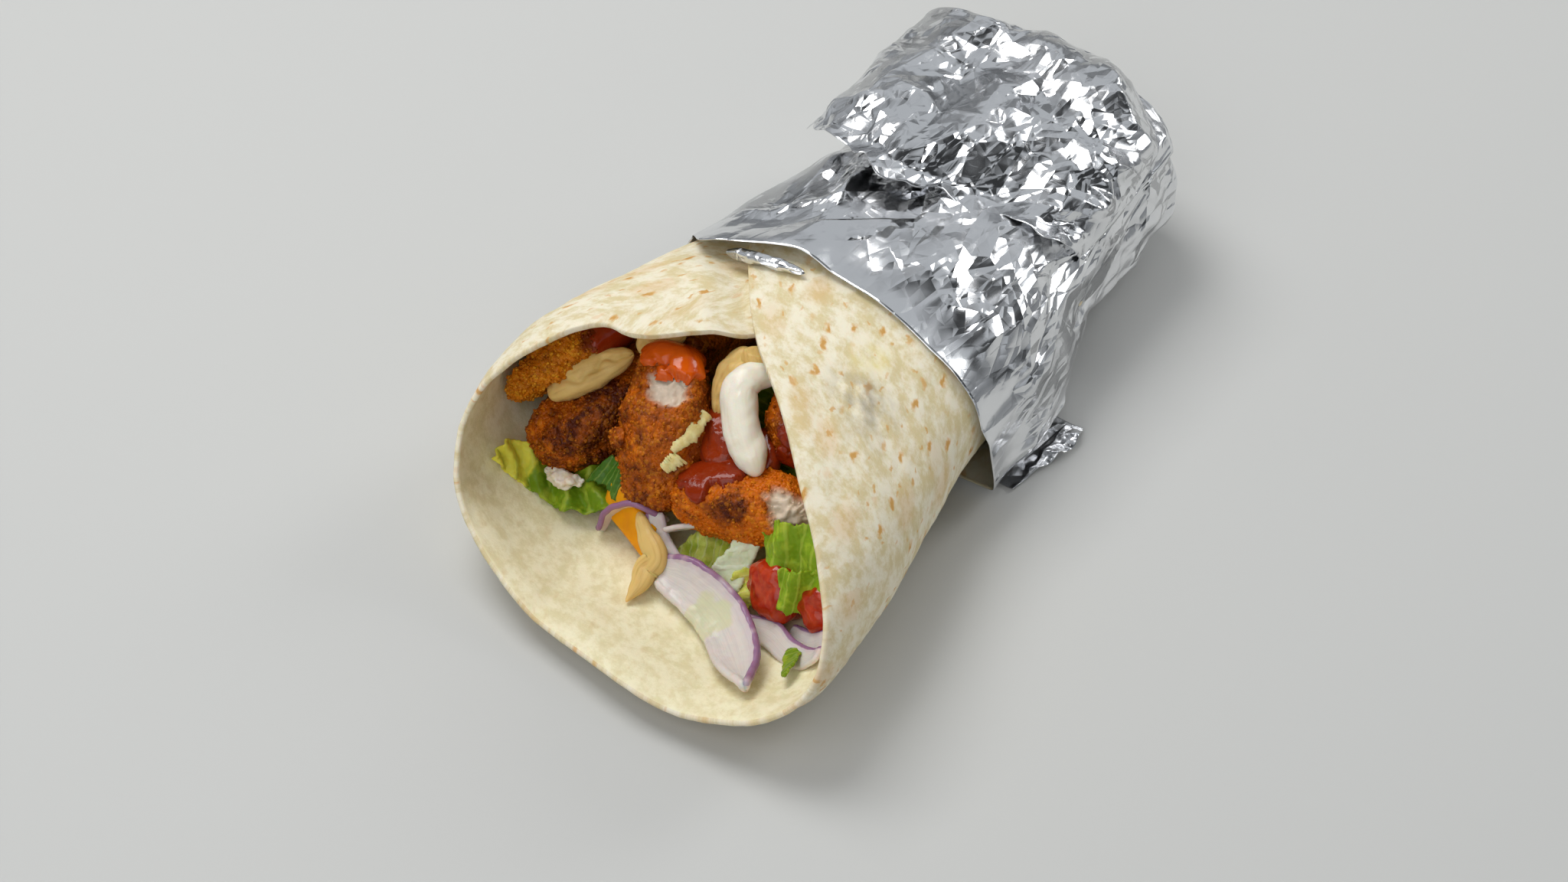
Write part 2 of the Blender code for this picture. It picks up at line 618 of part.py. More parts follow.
LETTUCE = (
    Slice("lettuce_left", ((-50, -115, 20), (-45, -107.5, 12), (-32, -105, 9.5), (-19, -101, 12)),
          (6, 12, 15, 12), ((0, 1, 0.35),), 0.8, 4.5, 1.0, columns=20, rows=4),
    Slice("lettuce_dark", ((-28, -101, 15), (-22, -101, 18), (-17, -103, 14)), (9, 10, 8),
          ((0.3, 0.6, 0.6),), 0.8, 1.5, 0.6, columns=6, rows=4),
    Slice("lettuce_middle", ((2, -105, 8), (9, -102.5, 9.5), (17, -102, 10.5)), (7, 9, 8),
          ((0, 0.85, 0.35),), 0.8, 2.2, 0.6, columns=9, rows=3),
    Slice("lettuce_rib", ((20, -98, 21), (20, -103, 15.5), (18.7, -107, 11), (19, -110.5, 7)),
          (5, 6, 8, 7), ((0.9, 0.2, -0.2),), 1.4, 1.0, 0.4, columns=9, rows=3),
    Slice("lettuce_frill", ((22, -104, 12), (24, -108, 8.5), (25, -111, 5)), (4, 6, 4),
          ((0.9, 0.3, 0.2),), 0.8, 1.5, 0.8, columns=8, rows=3),
    Slice("lettuce_right_upper", ((26, -102, 21), (34, -102, 24), (43, -100, 28)), (8, 15, 12),
          ((0.45, -0.35, -0.75),), 0.8, 1.5, 1.2, columns=12, rows=4),
    Slice("lettuce_right_lower", ((36, -109, 18), (41, -108, 18.5), (48, -105, 22)), (9, 11, 8),
          ((0.25, -0.3, -0.85),), 0.8, 1.5, 1.0, columns=12, rows=4),
    Slice("lettuce_sliver", ((46.3, -115, 8.8), (49, -121.5, 11.4), (52.3, -128.5, 14)), (4.5, 5, 1),
          ((0.75, 0, 0.6),), 0.7, 1.0, 0.3, columns=6),
)

CHEESE = Slice("cheese_strip", ((-22, -104, 11.5), (-16.5, -105.5, 10.5), (-5.6, -109, 8.5)), (7.5,),
               ((0, 0.45, 0.9),), 2.6, columns=5)

TOMATO = (
    Lump("tomato_left", ((24, -103.5, 10), (32, -103.5, 11), (41, -104, 11)), (5, 8, 7.5), 0.95,
         (0, 0.5, 0.85), 0.6, 0.05, seed=5, segments=12, rings=8),
    Lump("tomato_right", ((43, -106, 10), (47, -104, 14), (50, -100, 19)), (5, 6.5, 6), 0.95,
         (0, 0.5, 0.85), 0.6, 0.05, seed=7, segments=12, rings=8),
)

LETTUCE_BED = Lump("lettuce_bed", ((0, -92, 11), (0, -50, 13), (0, 0, 14), (-4, 58, 24)),
                   (34, 41, 36, 30), 0.27, squareness=0.6, lumps=0.06, seed=12, segments=16)


def make_filling(around):
    """Every piece of filling in turn, each cut clear of the tortilla and of the pieces before it."""
    looks = (
        (material("crumb", (0.55, 0.22, 0.06), 0.7), CHICKEN),
        (material("onion", (0.82, 0.74, 0.78), 0.35), ONIONS),
        (material("tomato", (0.75, 0.12, 0.06), 0.3), TOMATO),
        (material("cheese", (0.9, 0.55, 0.12), 0.5), (CHEESE,)),
        (material("sauce", (0.85, 0.72, 0.48), 0.4), SAUCES),
        (material("lettuce", (0.45, 0.6, 0.15), 0.5), LETTUCE + (LETTUCE_BED,)),
    )
    placed = list(around)
    for look, pieces in looks:
        for piece in pieces:
            placed.append(clear_of(piece.make(look), placed))
    return placed


# ---------------------------------------------------------------- the whole wrap

def build():
    """Make every piece, then stand them all on the object's own origin."""
    for obj in list(bpy.data.objects):
        bpy.data.objects.remove(obj)
    wrap = bpy.data.collections.new("chicken_wrap")
    bpy.context.scene.collection.children.link(wrap)
    layer = bpy.context.view_layer
    layer.active_layer_collection = layer.layer_collection.children[wrap.name]
    tortilla = make_tortilla()
    apply_modifiers(tortilla)
    foil = material("foil", (0.8, 0.8, 0.82), 0.25, 1.0)
    sleeve = make_sleeve(foil)
    apply_modifiers(sleeve)
    flap = sheet("foil_flap", foil, flap_surface, 14, 11, FOIL_THICKNESS, 1.0)
    corner = sheet("foil_corner", foil, corner_surface, 10, 3, FOIL_THICKNESS, -1.0)
    hem = clear_of(make_hem(foil), [tortilla, sleeve])
    pieces = make_filling([tortilla]) + [sleeve, flap, corner, hem]
    origin = bpy.data.objects.new("wrap_origin", None)
    wrap.objects.link(origin)
    origin.location = [-place for place in ORIGIN]
    for piece in pieces:
        piece.parent = origin


build()
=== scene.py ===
"""The looks of a chicken wrap: floury tortilla, breaded chicken, salad, sauces and crumpled foil.

Each surface is a function of two parameters, worked out with numpy as whole arrays. Places in the tables
are millimetres in the frame in which the tortilla's flat disc has its middle at zero; OBJECT_ORIGIN takes
them to the part's own frame, in metres, with the open mouth towards -Y and +Z up.
"""

from __future__ import annotations

import itertools
import logging
import math
import random
from collections.abc import Callable
from dataclasses import dataclass, field
from enum import Enum
from functools import partial
from typing import Any

import bpy
import numpy as np
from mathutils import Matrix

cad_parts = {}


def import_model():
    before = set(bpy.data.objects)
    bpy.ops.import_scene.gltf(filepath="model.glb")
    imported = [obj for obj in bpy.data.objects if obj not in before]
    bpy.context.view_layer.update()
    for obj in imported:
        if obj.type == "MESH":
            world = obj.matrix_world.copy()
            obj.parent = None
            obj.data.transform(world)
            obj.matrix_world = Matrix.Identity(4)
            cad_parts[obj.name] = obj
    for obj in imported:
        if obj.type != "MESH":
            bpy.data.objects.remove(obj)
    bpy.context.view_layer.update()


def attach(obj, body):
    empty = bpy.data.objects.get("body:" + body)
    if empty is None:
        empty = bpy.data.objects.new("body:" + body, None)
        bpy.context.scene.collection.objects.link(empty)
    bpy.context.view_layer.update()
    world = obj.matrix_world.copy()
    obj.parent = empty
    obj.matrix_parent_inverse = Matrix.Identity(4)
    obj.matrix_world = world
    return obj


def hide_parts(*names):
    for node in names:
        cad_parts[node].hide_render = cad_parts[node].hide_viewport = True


LOG = logging.getLogger("chicken_wrap")
MM = 0.001
OBJECT_ORIGIN = np.array((2.6, -29.0, 0.0)) * MM
TAU = math.tau

Array = np.ndarray
Place = tuple[float, float, float]
Adder = Callable[..., bpy.types.Node]


# ---- curves and fields


def hermite(at: Array, knots: Array, values: Array) -> Array:
    """Read a smooth curve: a cubic between each two knots, its slopes from the neighbouring values.

    Args:
        at: Where the curve is read.
        knots: Rising places of the known values.
        values: One number or one row for each knot.

    Returns:
        The curve's value for each entry of `at`.
    """
    at = np.clip(np.asarray(at, float), knots[0], knots[-1])
    slopes = np.gradient(values, knots, axis=0)
    cell = np.clip(np.searchsorted(knots, at, side="right") - 1, 0, len(knots) - 2)
    step = knots[cell + 1] - knots[cell]
    t = (at - knots[cell]) / step
    if values.ndim > 1:
        t, step = t[..., None], step[..., None]
    return ((1 + 2 * t) * (1 - t) ** 2 * values[cell] + t * (1 - t) ** 2 * step * slopes[cell]
            + t * t * (3 - 2 * t) * values[cell + 1] + t * t * (t - 1) * step * slopes[cell + 1])


def along_list(at: Array, values: Any) -> Array:
    """Read a smooth curve through evenly spaced values, `at` running from 0 to 1 along them.

    Args:
        at: Shares of the way along the list.
        values: One or more numbers or rows.

    Returns:
        The value, or row, for each entry of `at`.
    """
    values = np.asarray(values, float)
    if len(values) == 1:
        return np.broadcast_to(values[0], at.shape + values.shape[1:])
    return hermite(at, np.linspace(0, 1, len(values)), values)


def heading(at: Array, path: Any) -> Array:
    """Unit direction of the smooth curve through a path, from one short step before `at` to one after."""
    step = 0.02
    return unit(along_list(at + step, path) - along_list(at - step, path))


def smoothstep(low: float, high: float, value: Array) -> Array:
    """0 below `low`, 1 above `high` and t * t * (3 - 2 t) between them."""
    t = np.clip((value - low) / (high - low), 0, 1)
    return t * t * (3 - 2 * t)


def unit(vectors: Array) -> Array:
    """The vectors scaled to length 1, those of length 0 left as they are."""
    length = np.linalg.norm(vectors, axis=-1, keepdims=True)
    return vectors / np.where(length > 1e-12, length, 1)


class Noise:
    """A smooth random field of space: random numbers on a cubic lattice, blended between its points."""

    SIDE = 64

    def __init__(self, seed: int) -> None:
        """Fill the lattice from the seed."""
        self.table = np.random.default_rng(seed).uniform(-1, 1, (self.SIDE,) * 3)

    def __call__(self, points: Array, size: float) -> Array:
        """Read the field.

        Args:
            points: Places, in metres.
            size: Distance between lattice points, in metres.

        Returns:
            A number from -1 to 1 for each place.
        """
        lattice = points / size
        cell = np.floor(lattice).astype(int)
        t = lattice - cell
        t = t * t * (3 - 2 * t)
        total = np.zeros(points.shape[:-1])
        for corner in itertools.product((0, 1), repeat=3):
            weight = np.prod(np.where(corner, t, 1 - t), axis=-1)
            i, j, k = np.moveaxis((cell + corner) % self.SIDE, -1, 0)
            total += weight * self.table[i, j, k]
        return total

    def layered(self, points: Array, size: float, layers: int = 3, gain: float = 0.5) -> Array:
        """Sum of the field and its finer copies, each at half the size and `gain` of the strength."""
        return sum(gain ** n * self(points + 0.37 * n * size, size / 2 ** n) for n in range(layers))


class Creases:
    """The height of a crumpled sheet: flat triangles between random heights on a lattice."""

    SIDE = 64

    def __init__(self, seed: int) -> None:
        """Draw the heights, and the way in which each square of the lattice is folded in two.

        Args:
            seed: Of the random draw.
        """
        dice = np.random.default_rng(seed)
        self.heights = dice.random((self.SIDE, self.SIDE))
        self.folds = dice.random((self.SIDE, self.SIDE)) < 0.5

    def facets(self, plane: Array, size: float) -> Array:
        """Height of the folded lattice: linear over each half of a square.

        Args:
            plane: Places on the flat sheet, in metres.
            size: Side of a square, in metres.

        Returns:
            A height from 0 to 1 for each place.
        """
        lattice = plane / size
        cell = np.floor(lattice).astype(int)
        a, b = np.moveaxis(lattice - cell, -1, 0)
        i, j = np.moveaxis(cell, -1, 0)
        h00, h10, h01, h11 = (self.heights[(i + p) % self.SIDE, (j + q) % self.SIDE]
                              for p, q in ((0, 0), (1, 0), (0, 1), (1, 1)))
        falling = np.where(a + b < 1, h00 + a * (h10 - h00) + b * (h01 - h00),
                           h11 + (1 - a) * (h01 - h11) + (1 - b) * (h10 - h11))
        rising = np.where(a > b, h00 + a * (h10 - h00) + b * (h11 - h10),
                          h00 + b * (h01 - h00) + a * (h11 - h01))
        return np.where(self.folds[i % self.SIDE, j % self.SIDE], rising, falling)

    def crumple(self, plane: Array, size: float, layers: int = 3, gain: float = 0.5) -> Array:
        """Sum of facets, each layer turned, finer and lower than the last.

        The sheet's places are first pushed sideways by larger facets, so that the lattice doesn't show and
        the folds stay straight between the larger folds.

        Args:
            plane: Places on the flat sheet, in metres.
            size: Side of the largest facets, in metres.
            layers: How many layers are added up.
            gain: Strength of a layer against the one before it.

        Returns:
            A height round 0 for each place.
        """
        push = np.stack((self.facets(plane + 0.31, 2.3 * size), self.facets(plane - 0.47, 2.3 * size)), -1)
        plane = plane + 1.3 * size * push
        total = np.zeros(plane.shape[:-1])
        for layer in range(layers):
            turn = 0.6 + 1.1 * layer
            spin = np.array(((math.cos(turn), -math.sin(turn)), (math.sin(turn), math.cos(turn))))
            total += gain ** layer * (self.facets(plane @ spin + 0.7 * layer, size / 2.1 ** layer) - 0.5)
        return total


# ---- surfaces and meshes


@dataclass
class Shape:
    """Points, faces and painted masks of one surface, before it becomes a mesh."""

    points: Array
    faces: list[Array]
    uv: Array
    masks: dict[str, Array] = field(default_factory=dict)
    slots: list[int] = field(default_factory=list)


def grid_normals(grid: Array, closed: bool = False) -> Array:
    """Unit normals of a grid of points: the cross product of its two directions.

    Args:
        grid: Rows and columns of points.
        closed: Whether the last column meets the first.

    Returns:
        One normal for each point.
    """
    down = np.gradient(grid, axis=0)
    if closed:
        across = np.roll(grid, -1, axis=1) - np.roll(grid, 1, axis=1)
    else:
        across = np.gradient(grid, axis=1)
    return unit(np.cross(across, down))


def grid_faces(rows: int, columns: int, closed: bool = False, flip: bool = False, start: int = 0) -> Array:
    """Four-sided faces of a grid whose points are numbered row by row.

    Args:
        rows: How many rows of points it has.
        columns: How many points a row has.
        closed: Whether the last column meets the first.
        flip: Whether each face is turned over.
        start: Number of the first point.

    Returns:
        Four point numbers for each face.
    """
    index = start + np.arange(rows * columns).reshape(rows, columns)
    if closed:
        index = np.hstack((index, index[:, :1]))
    corners = (index[:-1, :-1], index[:-1, 1:], index[1:, 1:], index[1:, :-1])
    faces = np.stack([c.ravel() for c in corners], axis=1)
    return faces[:, ::-1] if flip else faces


def pinched(grid: Array) -> Array:
    """The grid, with its first and last rows each drawn together to one point."""
    grid[0], grid[-1] = grid[0].mean(axis=0), grid[-1].mean(axis=0)
    return grid


def slab(top: Array, bottom: Array, uv: Array, masks: dict[str, Array] | None = None,
         rim_rows: int = 3) -> Shape:
    """Close two grids into one solid with a rounded rim.

    The rim's points stand on half circles from the top grid's border to the bottom grid's, whose radius is
    half the thickness there and whose middle is moved out along the sheet.

    Args:
        top: Rows and columns of points on one face.
        bottom: The same points on the other face.
        uv: Two numbers for each point.
        masks: Painted values for each point, by name.
        rim_rows: Rows of points between the two borders.

    Returns:
        The closed shape. Slot 0 is the top and the rim, and slot 1 is the bottom.
    """
    rows, columns = top.shape[:2]
    flip = float(np.sum(grid_normals(top) * (top - bottom))) < 0
    border = np.concatenate((np.arange(columns), np.arange(1, rows) * columns + columns - 1,
                             rows * columns - 2 - np.arange(columns - 1),
                             np.arange(rows - 2, 0, -1) * columns))
    middle = 0.5 * (top + bottom)
    inward_row = np.clip(border // columns, 1, rows - 2)
    inward_column = np.clip(border % columns, 1, columns - 2)
    outward = middle.reshape(-1, 3)[border] - middle[inward_row, inward_column]
    half = 0.5 * (top - bottom).reshape(-1, 3)[border]
    outward -= half * (np.sum(outward * half, axis=1) / np.sum(half * half, axis=1))[:, None]
    outward = unit(outward) * np.linalg.norm(half, axis=1)[:, None]
    angles = np.linspace(math.pi / 2, -math.pi / 2, rim_rows + 2)[1:-1]
    rims = [middle.reshape(-1, 3)[border] + math.sin(a) * half + math.cos(a) * outward for a in angles]
    count = rows * columns
    rings = [border] + [2 * count + n * len(border) + np.arange(len(border)) for n in range(rim_rows)]
    rings.append(count + border)
    strips = []
    for upper, lower in zip(rings[:-1], rings[1:]):
        corners = (np.roll(upper, -1), upper, lower, np.roll(lower, -1))
        strips.append(np.stack(corners, axis=1))
    rim_faces = np.concatenate(strips)
    if flip:
        rim_faces = rim_faces[:, ::-1]

    def everywhere(values: Array) -> Array:
        """The values of the top's points, repeated for the bottom's and the rim's."""
        flat = values.reshape(count, -1)
        return np.concatenate([flat, flat] + [flat[border]] * rim_rows)

    painted = {name: everywhere(values)[:, 0] for name, values in (masks or {}).items()}
    painted["rim"] = np.concatenate((np.zeros(2 * count), np.ones(rim_rows * len(border))))
    painted["rim"][border] = painted["rim"][count + border] = 1
    points = np.concatenate([top.reshape(-1, 3), bottom.reshape(-1, 3)] + rims)
    faces = [grid_faces(rows, columns, flip=flip), rim_faces,
             grid_faces(rows, columns, flip=not flip, start=count)]
    return Shape(points, faces, everywhere(uv), painted, [0, 0, 1])


def closed_body(grid: Array, uv: Array, masks: dict[str, Array] | None = None) -> Shape:
    """Close a grid whose columns meet and whose first and last rows are single points.

    Args:
        grid: Rows and columns of points, the first and last rows all alike.
        uv: Two numbers for each point.
        masks: Painted values for each point, by name.

    Returns:
        The closed shape, its faces pointing out.
    """
    rows, columns = grid.shape[:2]
    inner = rows - 2
    normals = grid_normals(grid, closed=True)[1:-1]
    centres = grid[1:-1].mean(axis=1, keepdims=True)
    flip = float(np.sum(normals * (grid[1:-1] - centres))) < 0

    def kept(values: Array) -> Array:
        """One value for each pole and all those between them."""
        flat = values.reshape(rows, columns, -1)
        return np.concatenate((flat[0, :1], flat[1:-1].reshape(inner * columns, -1), flat[-1, :1]))

    first = 1 + np.arange(columns)
    last = first + (inner - 1) * columns
    top_fan = np.stack((np.roll(first, -1), first, np.zeros(columns, int)), axis=1)
    end_fan = np.stack((last, np.roll(last, -1), np.full(columns, inner * columns + 1)), axis=1)
    faces = [grid_faces(inner, columns, closed=True, flip=flip, start=1)]
    faces += [fan[:, ::-1] if flip else fan for fan in (top_fan, end_fan)]
    painted = {name: kept(values)[:, 0] for name, values in (masks or {}).items()}
    return Shape(kept(grid), faces, kept(uv), painted)


def make_piece(name: str, shape: Shape, looks: list[bpy.types.Material],
               stands_for: tuple[str, ...] = (), thickness: float = 0.0) -> bpy.types.Object:
    """Turn a shape into an object that rides with the wrap.

    Args:
        name: The object's name.
        shape: Points in the tables' frame, in metres.
        looks: One material for each slot number that the shape uses.
        stands_for: CAD nodes that it replaces.
        thickness: Where above 0, the open surface is thickened inwards by that much.

    Returns:
        The new object.
    """
    mesh = bpy.data.meshes.new(name)
    corners = np.concatenate([faces.ravel() for faces in shape.faces])
    sizes = np.concatenate([np.full(len(faces), faces.shape[1]) for faces in shape.faces])
    mesh.vertices.add(len(shape.points))
    mesh.vertices.foreach_set("co", (shape.points - OBJECT_ORIGIN).astype(np.float32).ravel())
    mesh.loops.add(len(corners))
    mesh.loops.foreach_set("vertex_index", corners.astype(np.int32))
    mesh.polygons.add(len(sizes))
    mesh.polygons.foreach_set("loop_start", (np.cumsum(sizes) - sizes).astype(np.int32))
    numbers = shape.slots or [0] * len(shape.faces)
    slots = np.concatenate([np.full(len(faces), n) for faces, n in zip(shape.faces, numbers)])
    mesh.polygons.foreach_set("material_index", np.minimum(slots, len(looks) - 1).astype(np.int32))
    layer = mesh.uv_layers.new(name="surface")
    layer.data.foreach_set("uv", shape.uv[corners].astype(np.float32).ravel())
    for mask, values in shape.masks.items():
        painted = mesh.attributes.new(mask, "FLOAT", "POINT")
        painted.data.foreach_set("value", values.astype(np.float32))
    for look in looks:
        mesh.materials.append(look)
    mesh.update(calc_edges=True)
    mesh.validate()
    mesh.shade_smooth()
    piece = bpy.data.objects.new(name, mesh)
    bpy.context.scene.collection.objects.link(piece)
    if thickness:
        shell = piece.modifiers.new("thickness", "SOLIDIFY")
        shell.thickness = thickness
        shell.offset = -1.0
    if stands_for:
        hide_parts(*stands_for)
    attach(piece, "root")
    LOG.info("%s: %d points, stands for %s", name, len(shape.points), ", ".join(stands_for) or "nothing")
    return piece


# ---- the roll


@dataclass
class Roll:
    """The rolled tortilla's outer skin: rounded cross-sections, their points evenly spaced round each.

    A station gives a section's place along Y, its width and height, and how far its middle is to the right.
    lap_band and lap_slope say where two layers overlap, by Y and by the sine of the bearing.
    """

    sections: int = 161
    steps: int = 480
    angles: int = 360
    stations: Array = field(default_factory=lambda: np.array((
        (-150, 113, 60, 13), (-120, 123, 61, 5), (-95, 125, 60, 0), (-70, 117, 55, -3),
        (-40, 102, 52, -2), (0, 86, 52, 2.5), (50, 80, 52, -2.5), (90, 79, 50, -6))) * MM)
    power: float = 2.28
    flat_depth: float = 2 * MM
    lip_rise: float = 7 * MM
    lip_rise_end: float = -120 * MM
    foil_lift: float = 0.85 * MM
    foil_lift_band: tuple[float, float] = (-62 * MM, -46 * MM)
    inner_face: float = 2.5 * MM
    lap_drop: float = 3.5 * MM
    lap_band: tuple[float, float] = (-82 * MM, -62 * MM)
    lap_slope: tuple[float, float] = (0.15, 0.6)
    soft: float = 0.4 * MM

    def __post_init__(self) -> None:
        """Work out each section as a superellipse, cut off flat at the bottom."""
        knots = self.stations[:, 0]
        self.rows = np.linspace(knots[0], knots[-1], self.sections)
        width, height, shift = hermite(self.rows, knots, self.stations[:, 1:]).T[:, :, None]
        turn = np.linspace(-0.5 * math.pi, 1.5 * math.pi, 4 * self.steps + 1)
        across = np.sign(np.cos(turn)) * np.abs(np.cos(turn)) ** (2 / self.power)
        upward = np.sign(np.sin(turn)) * np.abs(np.sin(turn)) ** (2 / self.power)
        x = width / 2 * across + shift
        z = np.maximum(height / 2 * (1 + upward), self.flat_depth) - self.flat_depth
        travel = np.hypot(np.diff(x, axis=1), np.diff(z, axis=1)).cumsum(axis=1)
        travel = np.hstack((np.zeros((self.sections, 1)), travel))
        self.perimeters = travel[:, -1]
        even = np.linspace(0, 1, self.steps + 1)
        self.x = np.array([np.interp(even, t / t[-1], v) for t, v in zip(travel, x)])
        self.z = np.array([np.interp(even, t / t[-1], v) for t, v in zip(travel, z)])
        aside, above = x - shift, z - 0.5 * height + self.flat_depth
        bearing = np.unwrap(np.arctan2(above, aside), axis=1)
        look = np.arange(self.angles) / self.angles * TAU
        self.reach = np.array([np.interp(look, b, d, period=TAU)
                               for b, d in zip(bearing[:, :-1], np.hypot(aside, above)[:, :-1])])

    def perimeter(self, y: Array | float) -> Array:
        """Distance round the roll at y."""
        return np.interp(y, self.rows, self.perimeters)

    def rise(self, y: Array) -> Array:
        """How far the section at y is lifted: at the mouth's lip, and where it lies on foil."""
        return (self.lip_rise * smoothstep(self.lip_rise_end, self.stations[0, 0], y)
                + self.foil_lift * smoothstep(*self.foil_lift_band, y))

    def row(self, y: Array) -> tuple[Array, Array]:
        """The section before y, by number, and the share of the way from it to the next one."""
        row = np.clip((y - self.rows[0]) / (self.rows[1] - self.rows[0]), 0, self.sections - 1.001)
        return row.astype(int), row - row.astype(int)

    def skin(self, s: Array, y: Array) -> tuple[Array, Array]:
        """Places on the skin, blended from the four nearest points of the sections.

        Args:
            s: Distance round the roll from the middle of its bottom.
            y: Place along the roll.

        Returns:
            x and z.
        """
        r, fr = self.row(y)
        turn = np.mod(s / self.perimeter(y), 1) * self.steps
        c = np.minimum(turn.astype(int), self.steps - 1)
        fc = turn - c
        corners = ((0, 0, (1 - fr) * (1 - fc)), (1, 0, fr * (1 - fc)), (0, 1, (1 - fr) * fc), (1, 1, fr * fc))
        x = sum(weight * self.x[r + i, c + j] for i, j, weight in corners)
        z = sum(weight * self.z[r + i, c + j] for i, j, weight in corners)
        return x, z

    def point(self, s: Array, y: Array, outset: Array | float = 0.0) -> Array:
        """Points at distance s round the roll and at y, moved out from the skin.

        Args:
            s: Distance round the roll, in metres.
            y: Place along the roll, in metres.
            outset: How far the point stands out, in metres.

        Returns:
            One point for each pair of s and y.
        """
        s, y = np.broadcast_arrays(np.asarray(s, float), np.asarray(y, float))
        reach = 1.5 * MM
        x, z = self.skin(s, y)
        x0, z0 = self.skin(s - reach, y)
        x1, z1 = self.skin(s + reach, y)
        length = np.hypot(x1 - x0, z1 - z0)
        x, z = x + outset * (z1 - z0) / length, z - outset * (x1 - x0) / length
        return np.stack((x, y, z + self.rise(y)), axis=-1)

    def hold(self, points: Array, spare: float = 0.0) -> Array:
        """Keep filling inside the tortilla.

        Seen from the middle of its cross-section, a point further out than the sheet's inner face, or than
        the lower layer where two overlap, comes back to it: its distance becomes a smooth minimum of the
        two.

        Args:
            points: Places in the tables' frame, in metres.
            spare: Extra distance kept from the inner face.

        Returns:
            The places, those well inside unmoved.
        """
        x, y, z = np.moveaxis(points, -1, 0)
        _, height, shift = hermite(y, self.stations[:, 0], self.stations[:, 1:]).transpose(
            (points.ndim - 1, *range(points.ndim - 1)))
        rise = self.rise(y)
        middle = 0.5 * height - self.flat_depth
        aside, above = x - shift, z - rise - middle
        distance = np.hypot(aside, above)
        turn = np.mod(np.arctan2(above, aside), TAU) / TAU * self.angles
        r, fr = self.row(y)
        c, fc = turn.astype(int) % self.angles, turn - turn.astype(int)
        reach = ((1 - fr) * ((1 - fc) * self.reach[r, c] + fc * self.reach[r, (c + 1) % self.angles])
                 + fr * ((1 - fc) * self.reach[r + 1, c] + fc * self.reach[r + 1, (c + 1) % self.angles]))
        doubled = (smoothstep(*self.lap_band, y)
                   * smoothstep(*self.lap_slope, above / np.maximum(distance, MM)))
        limit = reach - self.inner_face - self.lap_drop * doubled - spare
        nearer = limit - self.soft * np.logaddexp(0, (limit - distance) / self.soft)
        factor = np.where(distance > limit - 4 * self.soft, nearer / np.maximum(distance, MM), 1)
        return np.stack((shift + factor * aside, y, middle + rise + factor * above), axis=-1)


ROLL = Roll()


# ---- finishes: sizes in millimetres, colours as sRGB hex codes


def hexed(code: str) -> tuple[float, float, float, float]:
    """Linear colour of an sRGB hex code such as 'EFE8D6'."""
    parts = [int(code[n:n + 2], 16) / 255 for n in (0, 2, 4)]
    return tuple(p / 12.92 if p <= 0.04045 else ((p + 0.055) / 1.055) ** 2.4 for p in parts) + (1.0,)


def per(millimetres: float) -> float:
    """Texture scale whose features come at that many millimetres."""
    return 1 / (millimetres * MM)


def fill(node: bpy.types.Node, sockets: dict[Any, Any]) -> None:
    """Set or link a node's inputs.

    Args:
        node: The node.
        sockets: For each input, by name or number: a value, a colour's hex code, another node's output, or
            another node, whose first output is then taken.
    """
    for key, value in sockets.items():
        if isinstance(value, str):
            value = hexed(value)
        if isinstance(value, bpy.types.Node):
            value = value.outputs[0]
        if isinstance(value, bpy.types.NodeSocket):
            node.id_data.links.new(value, node.inputs[key])
        else:
            node.inputs[key].default_value = value


def add_node(tree: bpy.types.NodeTree, kind: str, sockets: dict[Any, Any] | None = None,
             **settings: Any) -> bpy.types.Node:
    """Add one shader node.

    Args:
        tree: The tree that it is added to.
        kind: The node's type without its ShaderNode prefix.
        sockets: Its inputs, as fill takes them.
        **settings: Properties of the node.

    Returns:
        The new node.
    """
    node = tree.nodes.new("ShaderNode" + kind)
    for key, value in settings.items():
        setattr(node, key, value)
    fill(node, sockets or {})
    return node


def new_material(name: str) -> tuple[bpy.types.Material, Adder, bpy.types.Node]:
    """A new material.

    Args:
        name: Its name.

    Returns:
        The material, add_node for its tree, and its Principled shader.
    """
    made = bpy.data.materials.new(name)
    made.use_nodes = True
    return made, partial(add_node, made.node_tree), made.node_tree.nodes["Principled BSDF"]


class Face(Enum):
    """Which face of the tortilla a finish is for."""

    OUTER = "outer"
    INNER = "inner"


# Toasted flecks: millimetres between them, radius as a share of that, share of them left out, and darkness.
FLECKS = ((17, 0.42, 0.3, 0.3), (9, 0.2, 0.42, 0.95), (5, 0.18, 0.52, 0.75))

# Smoky patches on the outer face: middle and radius in millimetres, tone, and strength.
SMOKY_PATCHES = (
    ((33, -68.5, 48), 14, "8C8270", 0.8), ((26, -66, 50), 10, "988B74", 0.6),
    ((25, -54.5, 49), 10, "E8D88C", 0.8), ((38, -80, 45), 10, "A79B86", 0.5),
)


